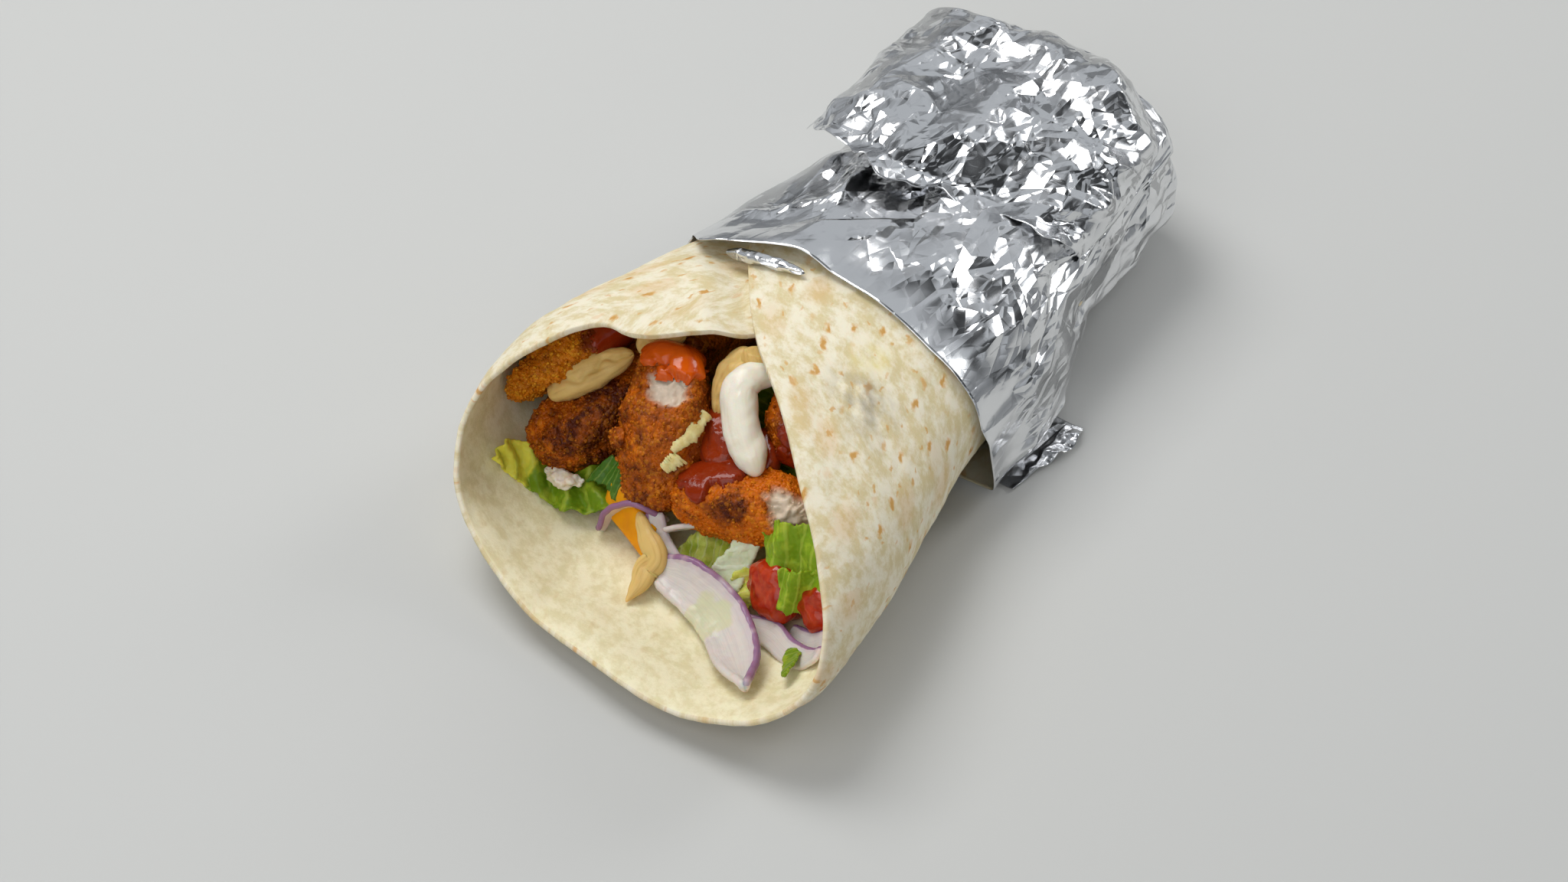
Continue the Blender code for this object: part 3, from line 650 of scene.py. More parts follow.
@dataclass(frozen=True)
class FlourTortilla:
    """Griddled flour tortilla: dry, pale and blistered, toasted where it touched the hot plate.

    Flour is too fine to show, so its grain is drawn coarser than it is.
    """

    face: Face
    dough: str
    blush: str
    toast: str
    scorch: str
    fleck_strength: float
    roughness: float
    blotch: float = 6.0
    wander: float = 2.5
    wander_reach: float = 4.0
    smoke_grain: float = 5.0
    flour_grain: float = 1.3
    flour_height: float = 0.5

    def make(self) -> bpy.types.Material:
        """Build it on the UV map, which is the flat disc in metres.

        Returns:
            Dough with soft blotches and toasted flecks and, outside, smoky patches.
        """
        made, add, shader = new_material(f"flour_tortilla_{self.face.value}")
        disc = add("TexCoord").outputs["UV"]
        place = add("TexCoord").outputs["Object"]
        blotch = add("TexNoise", {"Vector": disc, "Scale": per(self.blotch), "Detail": 7, "Roughness": 0.7})
        blotched = add("MapRange", {"Value": blotch, "From Min": 0.4, "From Max": 0.62},
                       interpolation_type="SMOOTHSTEP")
        colour = add("Mix", {0: blotched, 6: self.dough, 7: self.blush}, data_type="RGBA").outputs[2]
        colour = self.flecked(add, disc, colour)
        if self.face is Face.OUTER:
            colour = self.smoked(add, disc, place, colour)
        flour = add("TexNoise", {"Vector": place, "Scale": per(self.flour_grain), "Detail": 6,
                                 "Roughness": 0.65})
        bump = add("Bump", {"Height": flour, "Strength": 0.35, "Distance": self.flour_height * MM})
        fill(shader, {"Base Color": colour, "Normal": bump, "Roughness": self.roughness,
                      "Subsurface Weight": 0.12, "Subsurface Scale": 1.5 * MM})
        return made

    def flecked(self, add: Adder, disc: Any, colour: Any) -> Any:
        """Scatter the toasted flecks.

        A fleck is the middle of a Voronoi cell, stretched along the roll, its border pushed about by noise.
        Each cell's own random number says whether it has one.

        Args:
            add: Adds a node to the material.
            disc: The flat disc's coordinates.
            colour: The colour so far.

        Returns:
            The colour with the flecks on it.
        """
        wander = add("TexNoise", {"Vector": disc, "Scale": per(self.wander), "Detail": 3})
        wandering = add("VectorMath", {0: wander.outputs["Color"], 1: (0.5, 0.5, 0.5)}, operation="SUBTRACT")
        pushed = add("VectorMath", {0: wandering, 1: (self.wander_reach * MM,) * 3, 2: disc},
                     operation="MULTIPLY_ADD")
        stretched = add("Mapping", {"Vector": pushed, "Scale": (1.25, 0.8, 1)})
        for spacing, size, left_out, strength in FLECKS:
            cells = add("TexVoronoi", {"Vector": stretched, "Scale": per(spacing)}, voronoi_dimensions="2D")
            near = add("MapRange", {"Value": cells, "From Min": size, "From Max": size * 0.25},
                       interpolation_type="SMOOTHSTEP")
            lot = add("SeparateColor", {"Color": cells.outputs["Color"]})
            drawn = add("MapRange", {"Value": lot, "From Min": left_out, "From Max": left_out + 0.35})
            fleck = add("Math", {0: near, 1: drawn}, operation="MULTIPLY")
            soft = add("Math", {0: fleck, 1: strength * self.fleck_strength}, operation="MULTIPLY",
                       use_clamp=True)
            core = add("MapRange", {"Value": soft, "From Min": 0.6, "From Max": 1.0, "To Max": 0.25})
            for share, over in ((soft, self.toast), (core, self.scorch)):
                colour = add("Mix", {0: share, 6: colour, 7: over}, data_type="RGBA").outputs[2]
        return colour

    def smoked(self, add: Adder, disc: Any, place: Any, colour: Any) -> Any:
        """Stain the smoky patches: each fades from its middle to its radius and is speckled by noise.

        Args:
            add: Adds a node to the material.
            disc: The flat disc's coordinates, for the speckle.
            place: The object's coordinates, for the patches.
            colour: The colour so far.

        Returns:
            The colour with the patches on it.
        """
        grain = add("TexNoise", {"Vector": disc, "Scale": per(self.smoke_grain), "Detail": 6})
        for centre, radius, tint, strength in SMOKY_PATCHES:
            spot = tuple(np.array(centre) * MM - OBJECT_ORIGIN)
            apart = add("VectorMath", {0: place, 1: spot}, operation="DISTANCE").outputs["Value"]
            within = add("MapRange", {"Value": apart, "From Min": radius * MM, "From Max": 0.0},
                         interpolation_type="SMOOTHSTEP")
            speckled = add("MapRange", {"Value": grain, "From Min": 0.35, "From Max": 0.7,
                                        "To Max": strength})
            smoke = add("Math", {0: within, 1: speckled}, operation="MULTIPLY")
            colour = add("Mix", {0: smoke, 6: colour, 7: tint}, data_type="RGBA").outputs[2]
        return colour


# Layers of facets in the foil: the turn of each one's frame, its size and its steepness against the first.
FACET_LAYERS = (((0.5, 0.9, 0.3), 1.0, 1.0), ((1.3, 0.2, 2.1), 0.5, 0.6), ((2.2, 1.5, 0.7), 0.2, 0.4))


@dataclass(frozen=True)
class KitchenFoil:
    """Rolled aluminium foil, crumpled by hand: a mirror with a faint satin grain."""

    metal: str = "E6E7E9"
    roughness: float = 0.17
    facet: float = 26.0
    steepness: float = 0.34
    haze: float = 14.0

    def make(self) -> bpy.types.Material:
        """Build it: bare metal, with flat facets too fine for the mesh.

        The height is the distance to the nearest of some random points, measured along the axes of a turned
        frame, so that it rises evenly over each facet and breaks in a crisp fold between two. The layers
        add up, and the mask crumpled says how strong they are.

        Returns:
            The metal.
        """
        made, add, shader = new_material("kitchen_foil")
        place = add("TexCoord").outputs["Object"]
        height: Any = 0.0
        for turn, share, steep in FACET_LAYERS:
            size = share * self.facet
            turned = add("Mapping", {"Vector": place, "Rotation": turn, "Scale": (1.0, 0.6, 1.3)})
            cells = add("TexVoronoi", {"Vector": turned, "Scale": per(size)}, distance="CHEBYCHEV")
            height = add("Math", {0: cells, 1: steep * self.steepness * size * MM, 2: height},
                         operation="MULTIPLY_ADD")
        crumpled = add("Attribute", attribute_name="crumpled").outputs["Fac"]
        bump = add("Bump", {"Height": height, "Strength": crumpled, "Distance": 1.0})
        haze = add("TexNoise", {"Vector": place, "Scale": per(self.haze), "Detail": 3})
        rough = add("MapRange", {"Value": haze, "From Min": 0.35, "From Max": 0.65,
                                 "To Min": 0.6 * self.roughness, "To Max": 1.6 * self.roughness})
        fill(shader, {"Base Color": self.metal, "Normal": bump, "Roughness": rough, "Metallic": 1.0})
        return made


@dataclass(frozen=True)
class FriedCrumb:
    """Breadcrumb crust fried in oil: gritty, orange to dark brown, with torn meat and sticky sauce on it."""

    name: str = "fried_crumb"
    light: str = "D26806"
    dark: str = "501A04"
    grit: str = "F0981C"
    meat: str = "ECD8C0"
    glaze: str = "6A1C0A"
    crumb: float = 1.0
    crumb_height: float = 0.6
    cloud: float = 5.0
    fibre: float = 1.8

    def make(self) -> bpy.types.Material:
        """Build it from the masks roast, glaze, meat and shade on the mesh.

        Returns:
            Crust whose crumbs each have a tone of their own, lighter on raised lumps and darker in hollows as
            painted highlight and shade.
        """
        made, add, shader = new_material(self.name)
        place = add("TexCoord").outputs["Object"]
        masks = ("roast", "glaze", "meat", "shade")
        roast, glaze, meat, shade = (add("Attribute", attribute_name=m).outputs["Fac"] for m in masks)
        cloud = add("TexNoise", {"Vector": place, "Scale": per(self.cloud), "Detail": 6, "Roughness": 0.7})
        spread = add("MapRange", {"Value": cloud, "From Min": 0.32, "From Max": 0.68, "To Min": -0.5,
                                  "To Max": 0.5})
        tone = add("Math", {0: roast, 1: spread}, operation="ADD", use_clamp=True)
        colour = add("Mix", {0: tone, 6: self.light, 7: self.dark}, data_type="RGBA").outputs[2]
        crumbs = add("TexVoronoi", {"Vector": place, "Scale": per(self.crumb)})
        lot = add("SeparateColor", {"Color": crumbs.outputs["Color"]})
        # shade adds to each crumb's random tone. On the crust it follows the lumps: painted highlight on them
        # and painted shade in the hollows. On loose grit it is a random tone.
        drawn = add("Math", {0: lot, 1: shade}, operation="ADD")
        bright = add("MapRange", {"Value": drawn, "From Min": 0.7, "From Max": 1.15, "To Max": 0.62})
        dimmed = add("MapRange", {"Value": roast, "To Min": 1.0, "To Max": 0.35})
        lit = add("Math", {0: bright, 1: dimmed}, operation="MULTIPLY", use_clamp=True)
        fibre = add("TexNoise", {"Vector": place, "Scale": per(self.fibre), "Detail": 4})
        pale = add("MapRange", {"Value": fibre, "To Min": 0.6, "To Max": 1.1})
        flesh = add("Mix", {0: 1.0, 6: self.meat, 7: pale}, data_type="RGBA",
                    blend_type="MULTIPLY").outputs[2]
        for share, over in ((lit, self.grit), (meat, flesh), (glaze, self.glaze)):
            colour = add("Mix", {0: share, 6: colour, 7: over}, data_type="RGBA").outputs[2]
        gritty = add("Math", {0: crumbs, 1: -0.9, 2: cloud}, operation="MULTIPLY_ADD")
        wet = add("Math", {0: glaze, 1: meat}, operation="ADD", use_clamp=True)
        dry = add("MapRange", {"Value": wet, "To Min": 0.9, "To Max": 0.15})
        bump = add("Bump", {"Height": gritty, "Strength": dry, "Distance": self.crumb_height * MM})
        rough = add("MapRange", {"Value": wet, "To Min": 0.38, "To Max": 0.16})
        fill(shader, {"Base Color": colour, "Normal": bump, "Roughness": rough, "Specular IOR Level": 0.2,
                      "Subsurface Weight": 0.05, "Subsurface Scale": 0.8 * MM})
        return made


@dataclass(frozen=True)
class Sauce:
    """Thick emulsion or sticky glaze: smooth and wet, streaked along the way it ran, the streaks partly its
    tone and partly painted ridge shade.
    """

    name: str
    body: str
    streak_tone_and_shade: str
    roughness: float
    depth: float
    gloss: float
    streaks_round: float = 7.5
    ripple: float = 2.2
    ripple_height: float = 0.5

    def make(self) -> bpy.types.Material:
        """Build it on the UV map, whose first number runs along the ribbon and second round it.

        Returns:
            A wet, faintly streaked material that light goes a little way into.
        """
        made, add, shader = new_material(self.name)
        place = add("TexCoord").outputs["Object"]
        ribbon = add("TexCoord").outputs["UV"]
        drawn = add("Mapping", {"Vector": ribbon, "Scale": (1.2, self.streaks_round, 1)})
        streaks = add("TexNoise", {"Vector": drawn, "Scale": 2.0, "Detail": 4})
        # Darker streaks along the ribbon: partly the sauce's own tone, partly painted shade standing for fine
        # ridges.
        line = add("MapRange", {"Value": streaks, "From Min": 0.45, "From Max": 0.75, "To Max": 0.8},
                   interpolation_type="SMOOTHSTEP")
        colour = add("Mix", {0: line, 6: self.body, 7: self.streak_tone_and_shade}, data_type="RGBA").outputs[2]
        ripple = add("TexNoise", {"Vector": place, "Scale": per(self.ripple), "Detail": 3})
        bump = add("Bump", {"Height": ripple, "Strength": 0.4, "Distance": self.ripple_height * MM})
        fill(shader, {"Base Color": colour, "Normal": bump, "Roughness": self.roughness,
                      "Specular IOR Level": self.gloss, "Subsurface Weight": self.depth,
                      "Subsurface Scale": 2 * MM})
        return made


@dataclass(frozen=True)
class Leaf:
    """Raw lettuce: crisp and wet, greener at its frill and paler along its ribs.

    ribs is how many of them cross its length. Its cells are too fine to show, so they are drawn coarser.
    """

    name: str
    green: str
    pale: str
    tip: str
    ribs: float = 7.0
    pale_share: float = 0.5
    frill: str = "E8DE50"
    rib_slant: float = 0.22
    mottle: float = 3.5
    cell: float = 1.6
    relief: float = 0.5

    def make(self) -> bpy.types.Material:
        """Build it on the UV map, whose first number runs along the leaf and second across it.

        Returns:
            A leaf with branching ribs and mottled green between them.
        """
        made, add, shader = new_material(self.name)
        leaf = add("TexCoord").outputs["UV"]
        place = add("TexCoord").outputs["Object"]
        along, across, _ = add("SeparateXYZ", {"Vector": leaf}).outputs
        sway = add("TexNoise", {"Vector": leaf, "Scale": 3.0, "Detail": 2})
        slant = add("Math", {0: across, 1: self.rib_slant, 2: along}, operation="MULTIPLY_ADD")
        bent = add("Math", {0: sway, 1: 0.12, 2: slant}, operation="MULTIPLY_ADD")
        wave = add("Math", {0: bent, 1: self.ribs * TAU}, operation="MULTIPLY")
        crest = add("Math", {0: wave}, operation="SINE")
        rib = add("MapRange", {"Value": crest, "From Min": 0.55, "From Max": 1.0},
                  interpolation_type="SMOOTHSTEP")
        mottle = add("TexNoise", {"Vector": place, "Scale": per(self.mottle), "Detail": 5})
        fading = 0.3 * self.pale_share
        faded = add("MapRange", {"Value": mottle, "From Min": 0.62 - fading, "From Max": 0.8 - fading},
                    interpolation_type="SMOOTHSTEP")
        colour = add("Mix", {0: faded, 6: self.green, 7: self.tip}, data_type="RGBA").outputs[2]
        yellow = add("Attribute", attribute_name="tinge").outputs["Fac"]
        veined = add("Math", {0: rib, 1: 0.45}, operation="MULTIPLY")
        for share, over in ((yellow, self.frill), (veined, self.pale)):
            colour = add("Mix", {0: share, 6: colour, 7: over}, data_type="RGBA").outputs[2]
        cells = add("TexVoronoi", {"Vector": place, "Scale": per(self.cell)})
        height = add("Math", {0: rib, 1: 0.8, 2: cells}, operation="MULTIPLY_ADD")
        bump = add("Bump", {"Height": height, "Strength": 0.35, "Distance": self.relief * MM})
        fill(shader, {"Base Color": colour, "Normal": bump, "Roughness": 0.34, "Specular IOR Level": 0.18,
                      "Subsurface Weight": 0.25, "Subsurface Scale": 1.5 * MM})
        return made


@dataclass(frozen=True)
class RedOnion:
    """Sliced red onion: watery, lilac-white flesh with fine lines, and purple skin along one edge."""

    flesh: str = "DDD4CC"
    line: str = "D0C6C2"
    skin: str = "946C8E"
    tinge: str = "D2D39A"
    blush: str = "CDBCC2"
    lines_across: float = 9.0
    dew: float = 2.0
    dew_height: float = 0.4

    def make(self) -> bpy.types.Material:
        """Build it: the skin follows the mask skin, and the lines run along the slice.

        Returns:
            A moist, slightly see-through material.
        """
        made, add, shader = new_material("red_onion")
        slice_map = add("TexCoord").outputs["UV"]
        place = add("TexCoord").outputs["Object"]
        drawn = add("Mapping", {"Vector": slice_map, "Scale": (1.0, self.lines_across, 1.0)})
        lines = add("TexNoise", {"Vector": drawn, "Scale": 2.5, "Detail": 5})
        fine = add("MapRange", {"Value": lines, "From Min": 0.4, "From Max": 0.7})
        colour = add("Mix", {0: fine, 6: self.flesh, 7: self.line}, data_type="RGBA").outputs[2]
        across = add("SeparateXYZ", {"Vector": slice_map}).outputs[1]
        outer = add("MapRange", {"Value": across, "From Min": 0.7, "From Max": 1.0, "To Max": 0.6},
                    interpolation_type="SMOOTHSTEP")
        tinge, skin = (add("Attribute", attribute_name=mask).outputs["Fac"] for mask in ("tinge", "skin"))
        for share, over in ((outer, self.blush), (tinge, self.tinge), (skin, self.skin)):
            colour = add("Mix", {0: share, 6: colour, 7: over}, data_type="RGBA").outputs[2]
        dew = add("TexNoise", {"Vector": place, "Scale": per(self.dew), "Detail": 3})
        bump = add("Bump", {"Height": dew, "Strength": 0.2, "Distance": self.dew_height * MM})
        fill(shader, {"Base Color": colour, "Normal": bump, "Roughness": 0.26, "Specular IOR Level": 0.35,
                      "Subsurface Weight": 0.4, "Subsurface Scale": 2 * MM})
        return made


@dataclass(frozen=True)
class SoftFlesh:
    """Plain moist food, such as cheddar or tomato: one tone clouded with another, and painted skin."""

    name: str
    body: str
    cloud: str
    skin: str
    roughness: float
    cloud_size: float
    gloss: float = 0.2
    relief: float = 0.5

    def make(self) -> bpy.types.Material:
        """Build it.

        Returns:
            Clouded flesh, with the skin's colour where the mask skin is painted.
        """
        made, add, shader = new_material(self.name)
        place = add("TexCoord").outputs["Object"]
        clouds = add("TexNoise", {"Vector": place, "Scale": per(self.cloud_size), "Detail": 4})
        spread = add("MapRange", {"Value": clouds, "From Min": 0.38, "From Max": 0.65})
        colour = add("Mix", {0: spread, 6: self.body, 7: self.cloud}, data_type="RGBA").outputs[2]
        skin = add("Attribute", attribute_name="skin").outputs["Fac"]
        colour = add("Mix", {0: skin, 6: colour, 7: self.skin}, data_type="RGBA").outputs[2]
        bump = add("Bump", {"Height": clouds, "Strength": 0.3, "Distance": self.relief * MM})
        fill(shader, {"Base Color": colour, "Normal": bump, "Roughness": self.roughness,
                      "Specular IOR Level": self.gloss, "Subsurface Weight": 0.3,
                      "Subsurface Scale": 1.5 * MM})
        return made


# ---- the tortilla


@dataclass
class Tortilla:
    """A flour disc rolled into a cone, its right side over its left, its mouth open like a scoop."""

    radius: float = 150 * MM
    back: float = 66 * MM
    shift: float = 6.5 * MM
    corner_angle: float = math.radians(62)
    left_pull: float = 23 * MM
    left_pull_band: tuple[float, float] = (-112 * MM, -133 * MM)
    left_pull_fade: tuple[float, float] = (-50 * MM, 0.0)
    rim_wave: float = 0.5 * MM
    thickness: float = 2.2 * MM
    rim_thickness: float = 1.5 * MM
    lap_drop: float = 3.3 * MM
    lap_margin: float = 2 * MM
    lap_ramp: float = 16 * MM
    thinning: float = 6 * MM
    puff: float = 0.34 * MM
    blister: float = 0.16 * MM
    columns: int = 236
    rows: int = 176

    def rim(self, angle: Array) -> Array:
        """Flat place on the scalloped rim, the angle counted from the mouth side."""
        radius = self.radius + self.rim_wave * (np.sin(9 * angle) + 0.6 * np.sin(23 * angle + 1))
        return np.stack((radius * np.sin(angle), -radius * np.cos(angle)), axis=-1)

    def disc(self, u: Array, v: Array) -> Array:
        """Flat places inside the rim: a Coons patch of the mouth's rim, the straight back and the sides.

        Args:
            u: 0 at the left side and 1 at the right.
            v: 0 at the mouth and 1 at the back.

        Returns:
            One flat place for each pair of u and v.
        """
        back_angle = math.acos(-self.back / self.radius)
        front = self.rim((2 * u - 1) * self.corner_angle)
        side = self.corner_angle + v * (back_angle - self.corner_angle)
        left, right = self.rim(-side), self.rim(side)
        back_left, back_right = (self.rim(np.array(way * back_angle)) for way in (-1, 1))
        front_left, front_right = (self.rim(np.array(way * self.corner_angle)) for way in (-1, 1))
        u, v = u[..., None], v[..., None]
        back = (1 - u) * back_left + u * back_right
        corners = ((1 - u) * ((1 - v) * front_left + v * back_left)
                   + u * ((1 - v) * front_right + v * back_right))
        return (1 - v) * front + v * back + (1 - u) * left + u * right - corners

    def shape(self) -> Shape:
        """Both faces of the rolled disc.

        A flat place becomes a distance round the roll and a place along it. The left side is pulled
        forward and dips under the right one; low noise makes blisters; the sheet thins towards its rim.

        Returns:
            The closed sheet, its UV map the flat disc in metres.
        """
        u, v = np.meshgrid(np.linspace(0, 1, self.columns), np.linspace(0, 1, self.rows))
        flat = self.disc(u, v)
        s, y = flat[..., 0] + self.shift, flat[..., 1]
        pulled = smoothstep(*self.left_pull_band, s) * (1 - smoothstep(*self.left_pull_fade, y))
        y = y - self.left_pull * pulled
        half_chord = np.sqrt(np.maximum(self.radius ** 2 - y ** 2, 0))
        lap_edge = half_chord + self.shift - ROLL.perimeter(y)
        drop = self.lap_drop * (1 - smoothstep(0, self.lap_ramp, s - lap_edge - self.lap_margin))
        inland = self.radius - np.hypot(flat[..., 0], flat[..., 1])
        thinned = (self.thickness - self.rim_thickness) * (1 - smoothstep(0, self.thinning, inland))
        spare = 0.5 * thinned
        sheet = np.concatenate((flat, np.zeros(flat.shape[:2] + (1,))), axis=-1)
        noise = Noise(21)
        off_floor = smoothstep(0.5 * MM, 6 * MM, ROLL.point(s, y)[..., 2])
        puff = self.puff * noise.layered(sheet, 11 * MM) * off_floor
        blister = self.blister * np.abs(noise(sheet + 0.2, 4 * MM)) * off_floor
        top = ROLL.point(s, y, puff + blister - drop - spare)
        bottom = ROLL.point(s, y, puff - 0.5 * blister - drop - self.thickness + spare)
        return slab(top, bottom, flat)

    def dress(self) -> None:
        """Make the sheet, floury outside and smoother inside."""
        outer = FlourTortilla(Face.OUTER, dough="F2E9D0", blush="DCCB9C", toast="D9A24E", scorch="A0702C",
                              fleck_strength=1.0, roughness=0.72)
        inner = FlourTortilla(Face.INNER, dough="FAF1CE", blush="E9DDB0", toast="DCC48E", scorch="C8A262",
                              fleck_strength=0.35, roughness=0.62)
        make_piece("tortilla_sheet", self.shape(), [outer.make(), inner.make()], ("tortilla",))


# ---- the foil


@dataclass
class FoilWrap:
    """Kitchen foil round the closed end: a sleeve, its end folded forward, a small hem and a loose corner.

    front_top and front_low are the places X and Y of the front edge above and below the roll. The flap's
    lists run from its left to its right.
    """

    gap: float = 0.35 * MM
    side_gap: float = 1.0 * MM
    floor_gap: float = 0.3 * MM
    thickness: float = 0.22 * MM
    close: float = 70 * MM
    cap: float = 11 * MM
    cap_rounding: float = 0.7
    body_share: float = 0.8
    front_top: Array = field(default_factory=lambda: np.array((
        (-52, -42, -36, -30, -13, 0, 10, 34, 52), (-34, -42, -46, -45, -38, -38, -38.5, -41, -42))) * MM)
    front_low: Array = field(default_factory=lambda: np.array(((-52, 0, 52), (-28, -36, -39))) * MM)
    skirt_flare: float = 2.5 * MM
    skirt_lift: float = 2.0 * MM
    sleeve_fold: float = 16 * MM
    sleeve_crease: float = 3.6 * MM
    sleeve_fine_crease: float = 0.9 * MM
    columns: int = 264
    rows: int = 150
    hem_thickness: float = 3.2 * MM
    hem_path: Array = field(default_factory=lambda: np.array(((26, -46), (16, -44.5), (4, -42))) * MM)
    hem_crease: float = 0.8 * MM
    flap_size: tuple[float, float] = (118 * MM, 128 * MM)
    flap_grid: tuple[int, int] = (190, 186)
    flap_turn: tuple[float, float] = (0.69, 0.31)
    flap_front: Array = field(default_factory=lambda: np.array((14, 4, 1, -6, 4, 6, 9, 12, 20)) * MM)
    flap_depth: Array = field(default_factory=lambda: np.array((7, 12, 16, 17, 15, 13)) * MM)
    flap_ragged: float = 1.6 * MM
    flap_top_share: float = 0.62
    flap_bend: float = math.radians(118)
    flap_taper: float = 0.22
    flap_stand_off: float = 5.0 * MM
    flap_left_rise: float = 4.5 * MM
    flap_front_rise: tuple[float, float] = (2.5 * MM, -3.0 * MM)
    flap_fold: float = 20 * MM
    flap_crease: float = 5.6 * MM
    flap_fine_crease: float = 1.2 * MM
    corner_size: tuple[float, float] = (30 * MM, 12 * MM)
    corner_grid: tuple[int, int] = (90, 40)
    corner_start: float = -31 * MM
    corner_reach: Array = field(default_factory=lambda: np.array((2.2, 3.9, 6.4, 8.4, 6.9)) * MM)
    corner_tuck: float = 4 * MM
    corner_pleat: float = 3 * MM

    def cap_middle(self) -> tuple[float, float]:
        """x and z of the middle of the far end."""
        return ROLL.stations[-1, 3], 0.5 * ROLL.stations[-1, 2]

    def skirt_face(self, y: Array) -> Array:
        """How far right the loose skirt hangs at y."""
        return ROLL.point(0.25 * ROLL.perimeter(y), y, self.gap + self.side_gap + self.skirt_flare)[..., 0]

    def front(self, turn: Array) -> Array:
        """The front edge, which runs slanting round the roll.

        Args:
            turn: Shares of the way round.

        Returns:
            The edge's place along Y for each.
        """
        level = float(self.front_top[1].min())
        x, z = ROLL.skin(turn * ROLL.perimeter(level), np.full(turn.shape, level))
        top = hermite(x, self.front_top[0], self.front_top[1])
        low = hermite(x, self.front_low[0], self.front_low[1])
        return low + (top - low) * smoothstep(4 * MM, 30 * MM, z)

    def sleeve(self) -> Shape:
        """The cup of foil round the roll.

        Rows run from the front edge to the far end, then inwards to its middle; columns run once round from
        the middle of the bottom. The sheet stands off the roll by a small gap, further over the hem. Its
        skirt hangs straight down at the right, clear of the floor. Creases push it out along its normals,
        weaker on the smooth front band, on the floor and under the folded end.

        Returns:
            The open surface, its creases running slantwise along the roll.
        """
        turn, row = np.meshgrid(np.arange(self.columns) / self.columns, np.linspace(0, 1, self.rows))
        along = np.clip(row / self.body_share, 0, 1)
        closing = np.clip((row - self.body_share) / (1 - self.body_share), 0, 1) * math.pi / 2
        front = self.front(turn)
        y = front + along * (self.close - front)
        s = turn * ROLL.perimeter(y)
        aside, _, height = np.moveaxis(ROLL.point(s, y), -1, 0)
        over_hem = ((1 - smoothstep(0, 0.2, along)) * smoothstep(34 * MM, 44 * MM, height)
                    * (1 - smoothstep(-12 * MM, 2 * MM, aside)) * smoothstep(-48 * MM, -30 * MM, aside))
        off_floor = smoothstep(0.85 * MM, 5 * MM, height)
        points = ROLL.point(s, y, self.gap + self.side_gap * off_floor + self.hem_thickness * over_hem)
        face = self.skirt_face(y)
        hanging = ((1 - smoothstep(-2 * MM, 22 * MM, y)) * (1 - smoothstep(24 * MM, 30 * MM, points[..., 2]))
                   * smoothstep(0.55, 0.68, points[..., 0] / face))
        points[..., 0] += hanging * np.maximum(face - points[..., 0], 0)
        low = 1 - smoothstep(self.skirt_lift, 4 * self.skirt_lift, points[..., 2])
        points[..., 2] += hanging * self.skirt_lift * low
        middle_x, middle_z = self.cap_middle()
        narrowing = np.cos(closing) ** self.cap_rounding
        points[..., 0] = middle_x + narrowing * (points[..., 0] - middle_x)
        points[..., 1] += self.cap * np.sin(closing)
        points[..., 2] = middle_z + narrowing * (points[..., 2] - middle_z)
        outward = (points - np.array((middle_x, 0, middle_z))) * (1, 0, 1)
        normals = grid_normals(points, closed=True)
        normals = normals * np.sign(np.sum(normals[:-1] * outward[:-1]))
        plane = np.stack((s, y + 0.55 * s + 27 * MM * closing), axis=-1)
        large = Creases(5).crumple(plane * (1.0, 0.62), self.sleeve_fold, 2)
        small = Creases(8).crumple(plane, 0.42 * self.sleeve_fold, 1)
        covered = smoothstep(6 * MM, 16 * MM, y) * smoothstep(26 * MM, 34 * MM, points[..., 2])
        banded = smoothstep(0.07, 0.2, along + 0.05 * large)
        depth = ((0.25 + 0.75 * banded) * self.sleeve_crease * (large + 0.25)
                 + banded * self.sleeve_fine_crease * small) * off_floor * (1 - 0.75 * covered)
        points = points + normals * depth[..., None]
        points[..., 2] = np.maximum(points[..., 2], self.floor_gap)
        points[-1] = points[-1].mean(axis=0)
        tube = grid_faces(self.rows - 1, self.columns, closed=True)
        ring = (self.rows - 2) * self.columns + np.arange(self.columns)
        pole = (self.rows - 1) * self.columns
        fan = np.stack((ring, np.roll(ring, -1), np.full(self.columns, pole)), axis=1)
        flip = float(np.sum(grid_normals(points, closed=True)[:-1] * outward[:-1])) < 0
        faces = [part[:, ::-1] if flip else part for part in (tube, fan)]
        uv = np.stack((turn, row), axis=-1).reshape(-1, 2)[:pole + 1]
        crumpled = (0.3 + 0.7 * banded).ravel()[:pole + 1]
        return Shape(points.reshape(-1, 3)[:pole + 1], faces, uv, {"crumpled": crumpled})

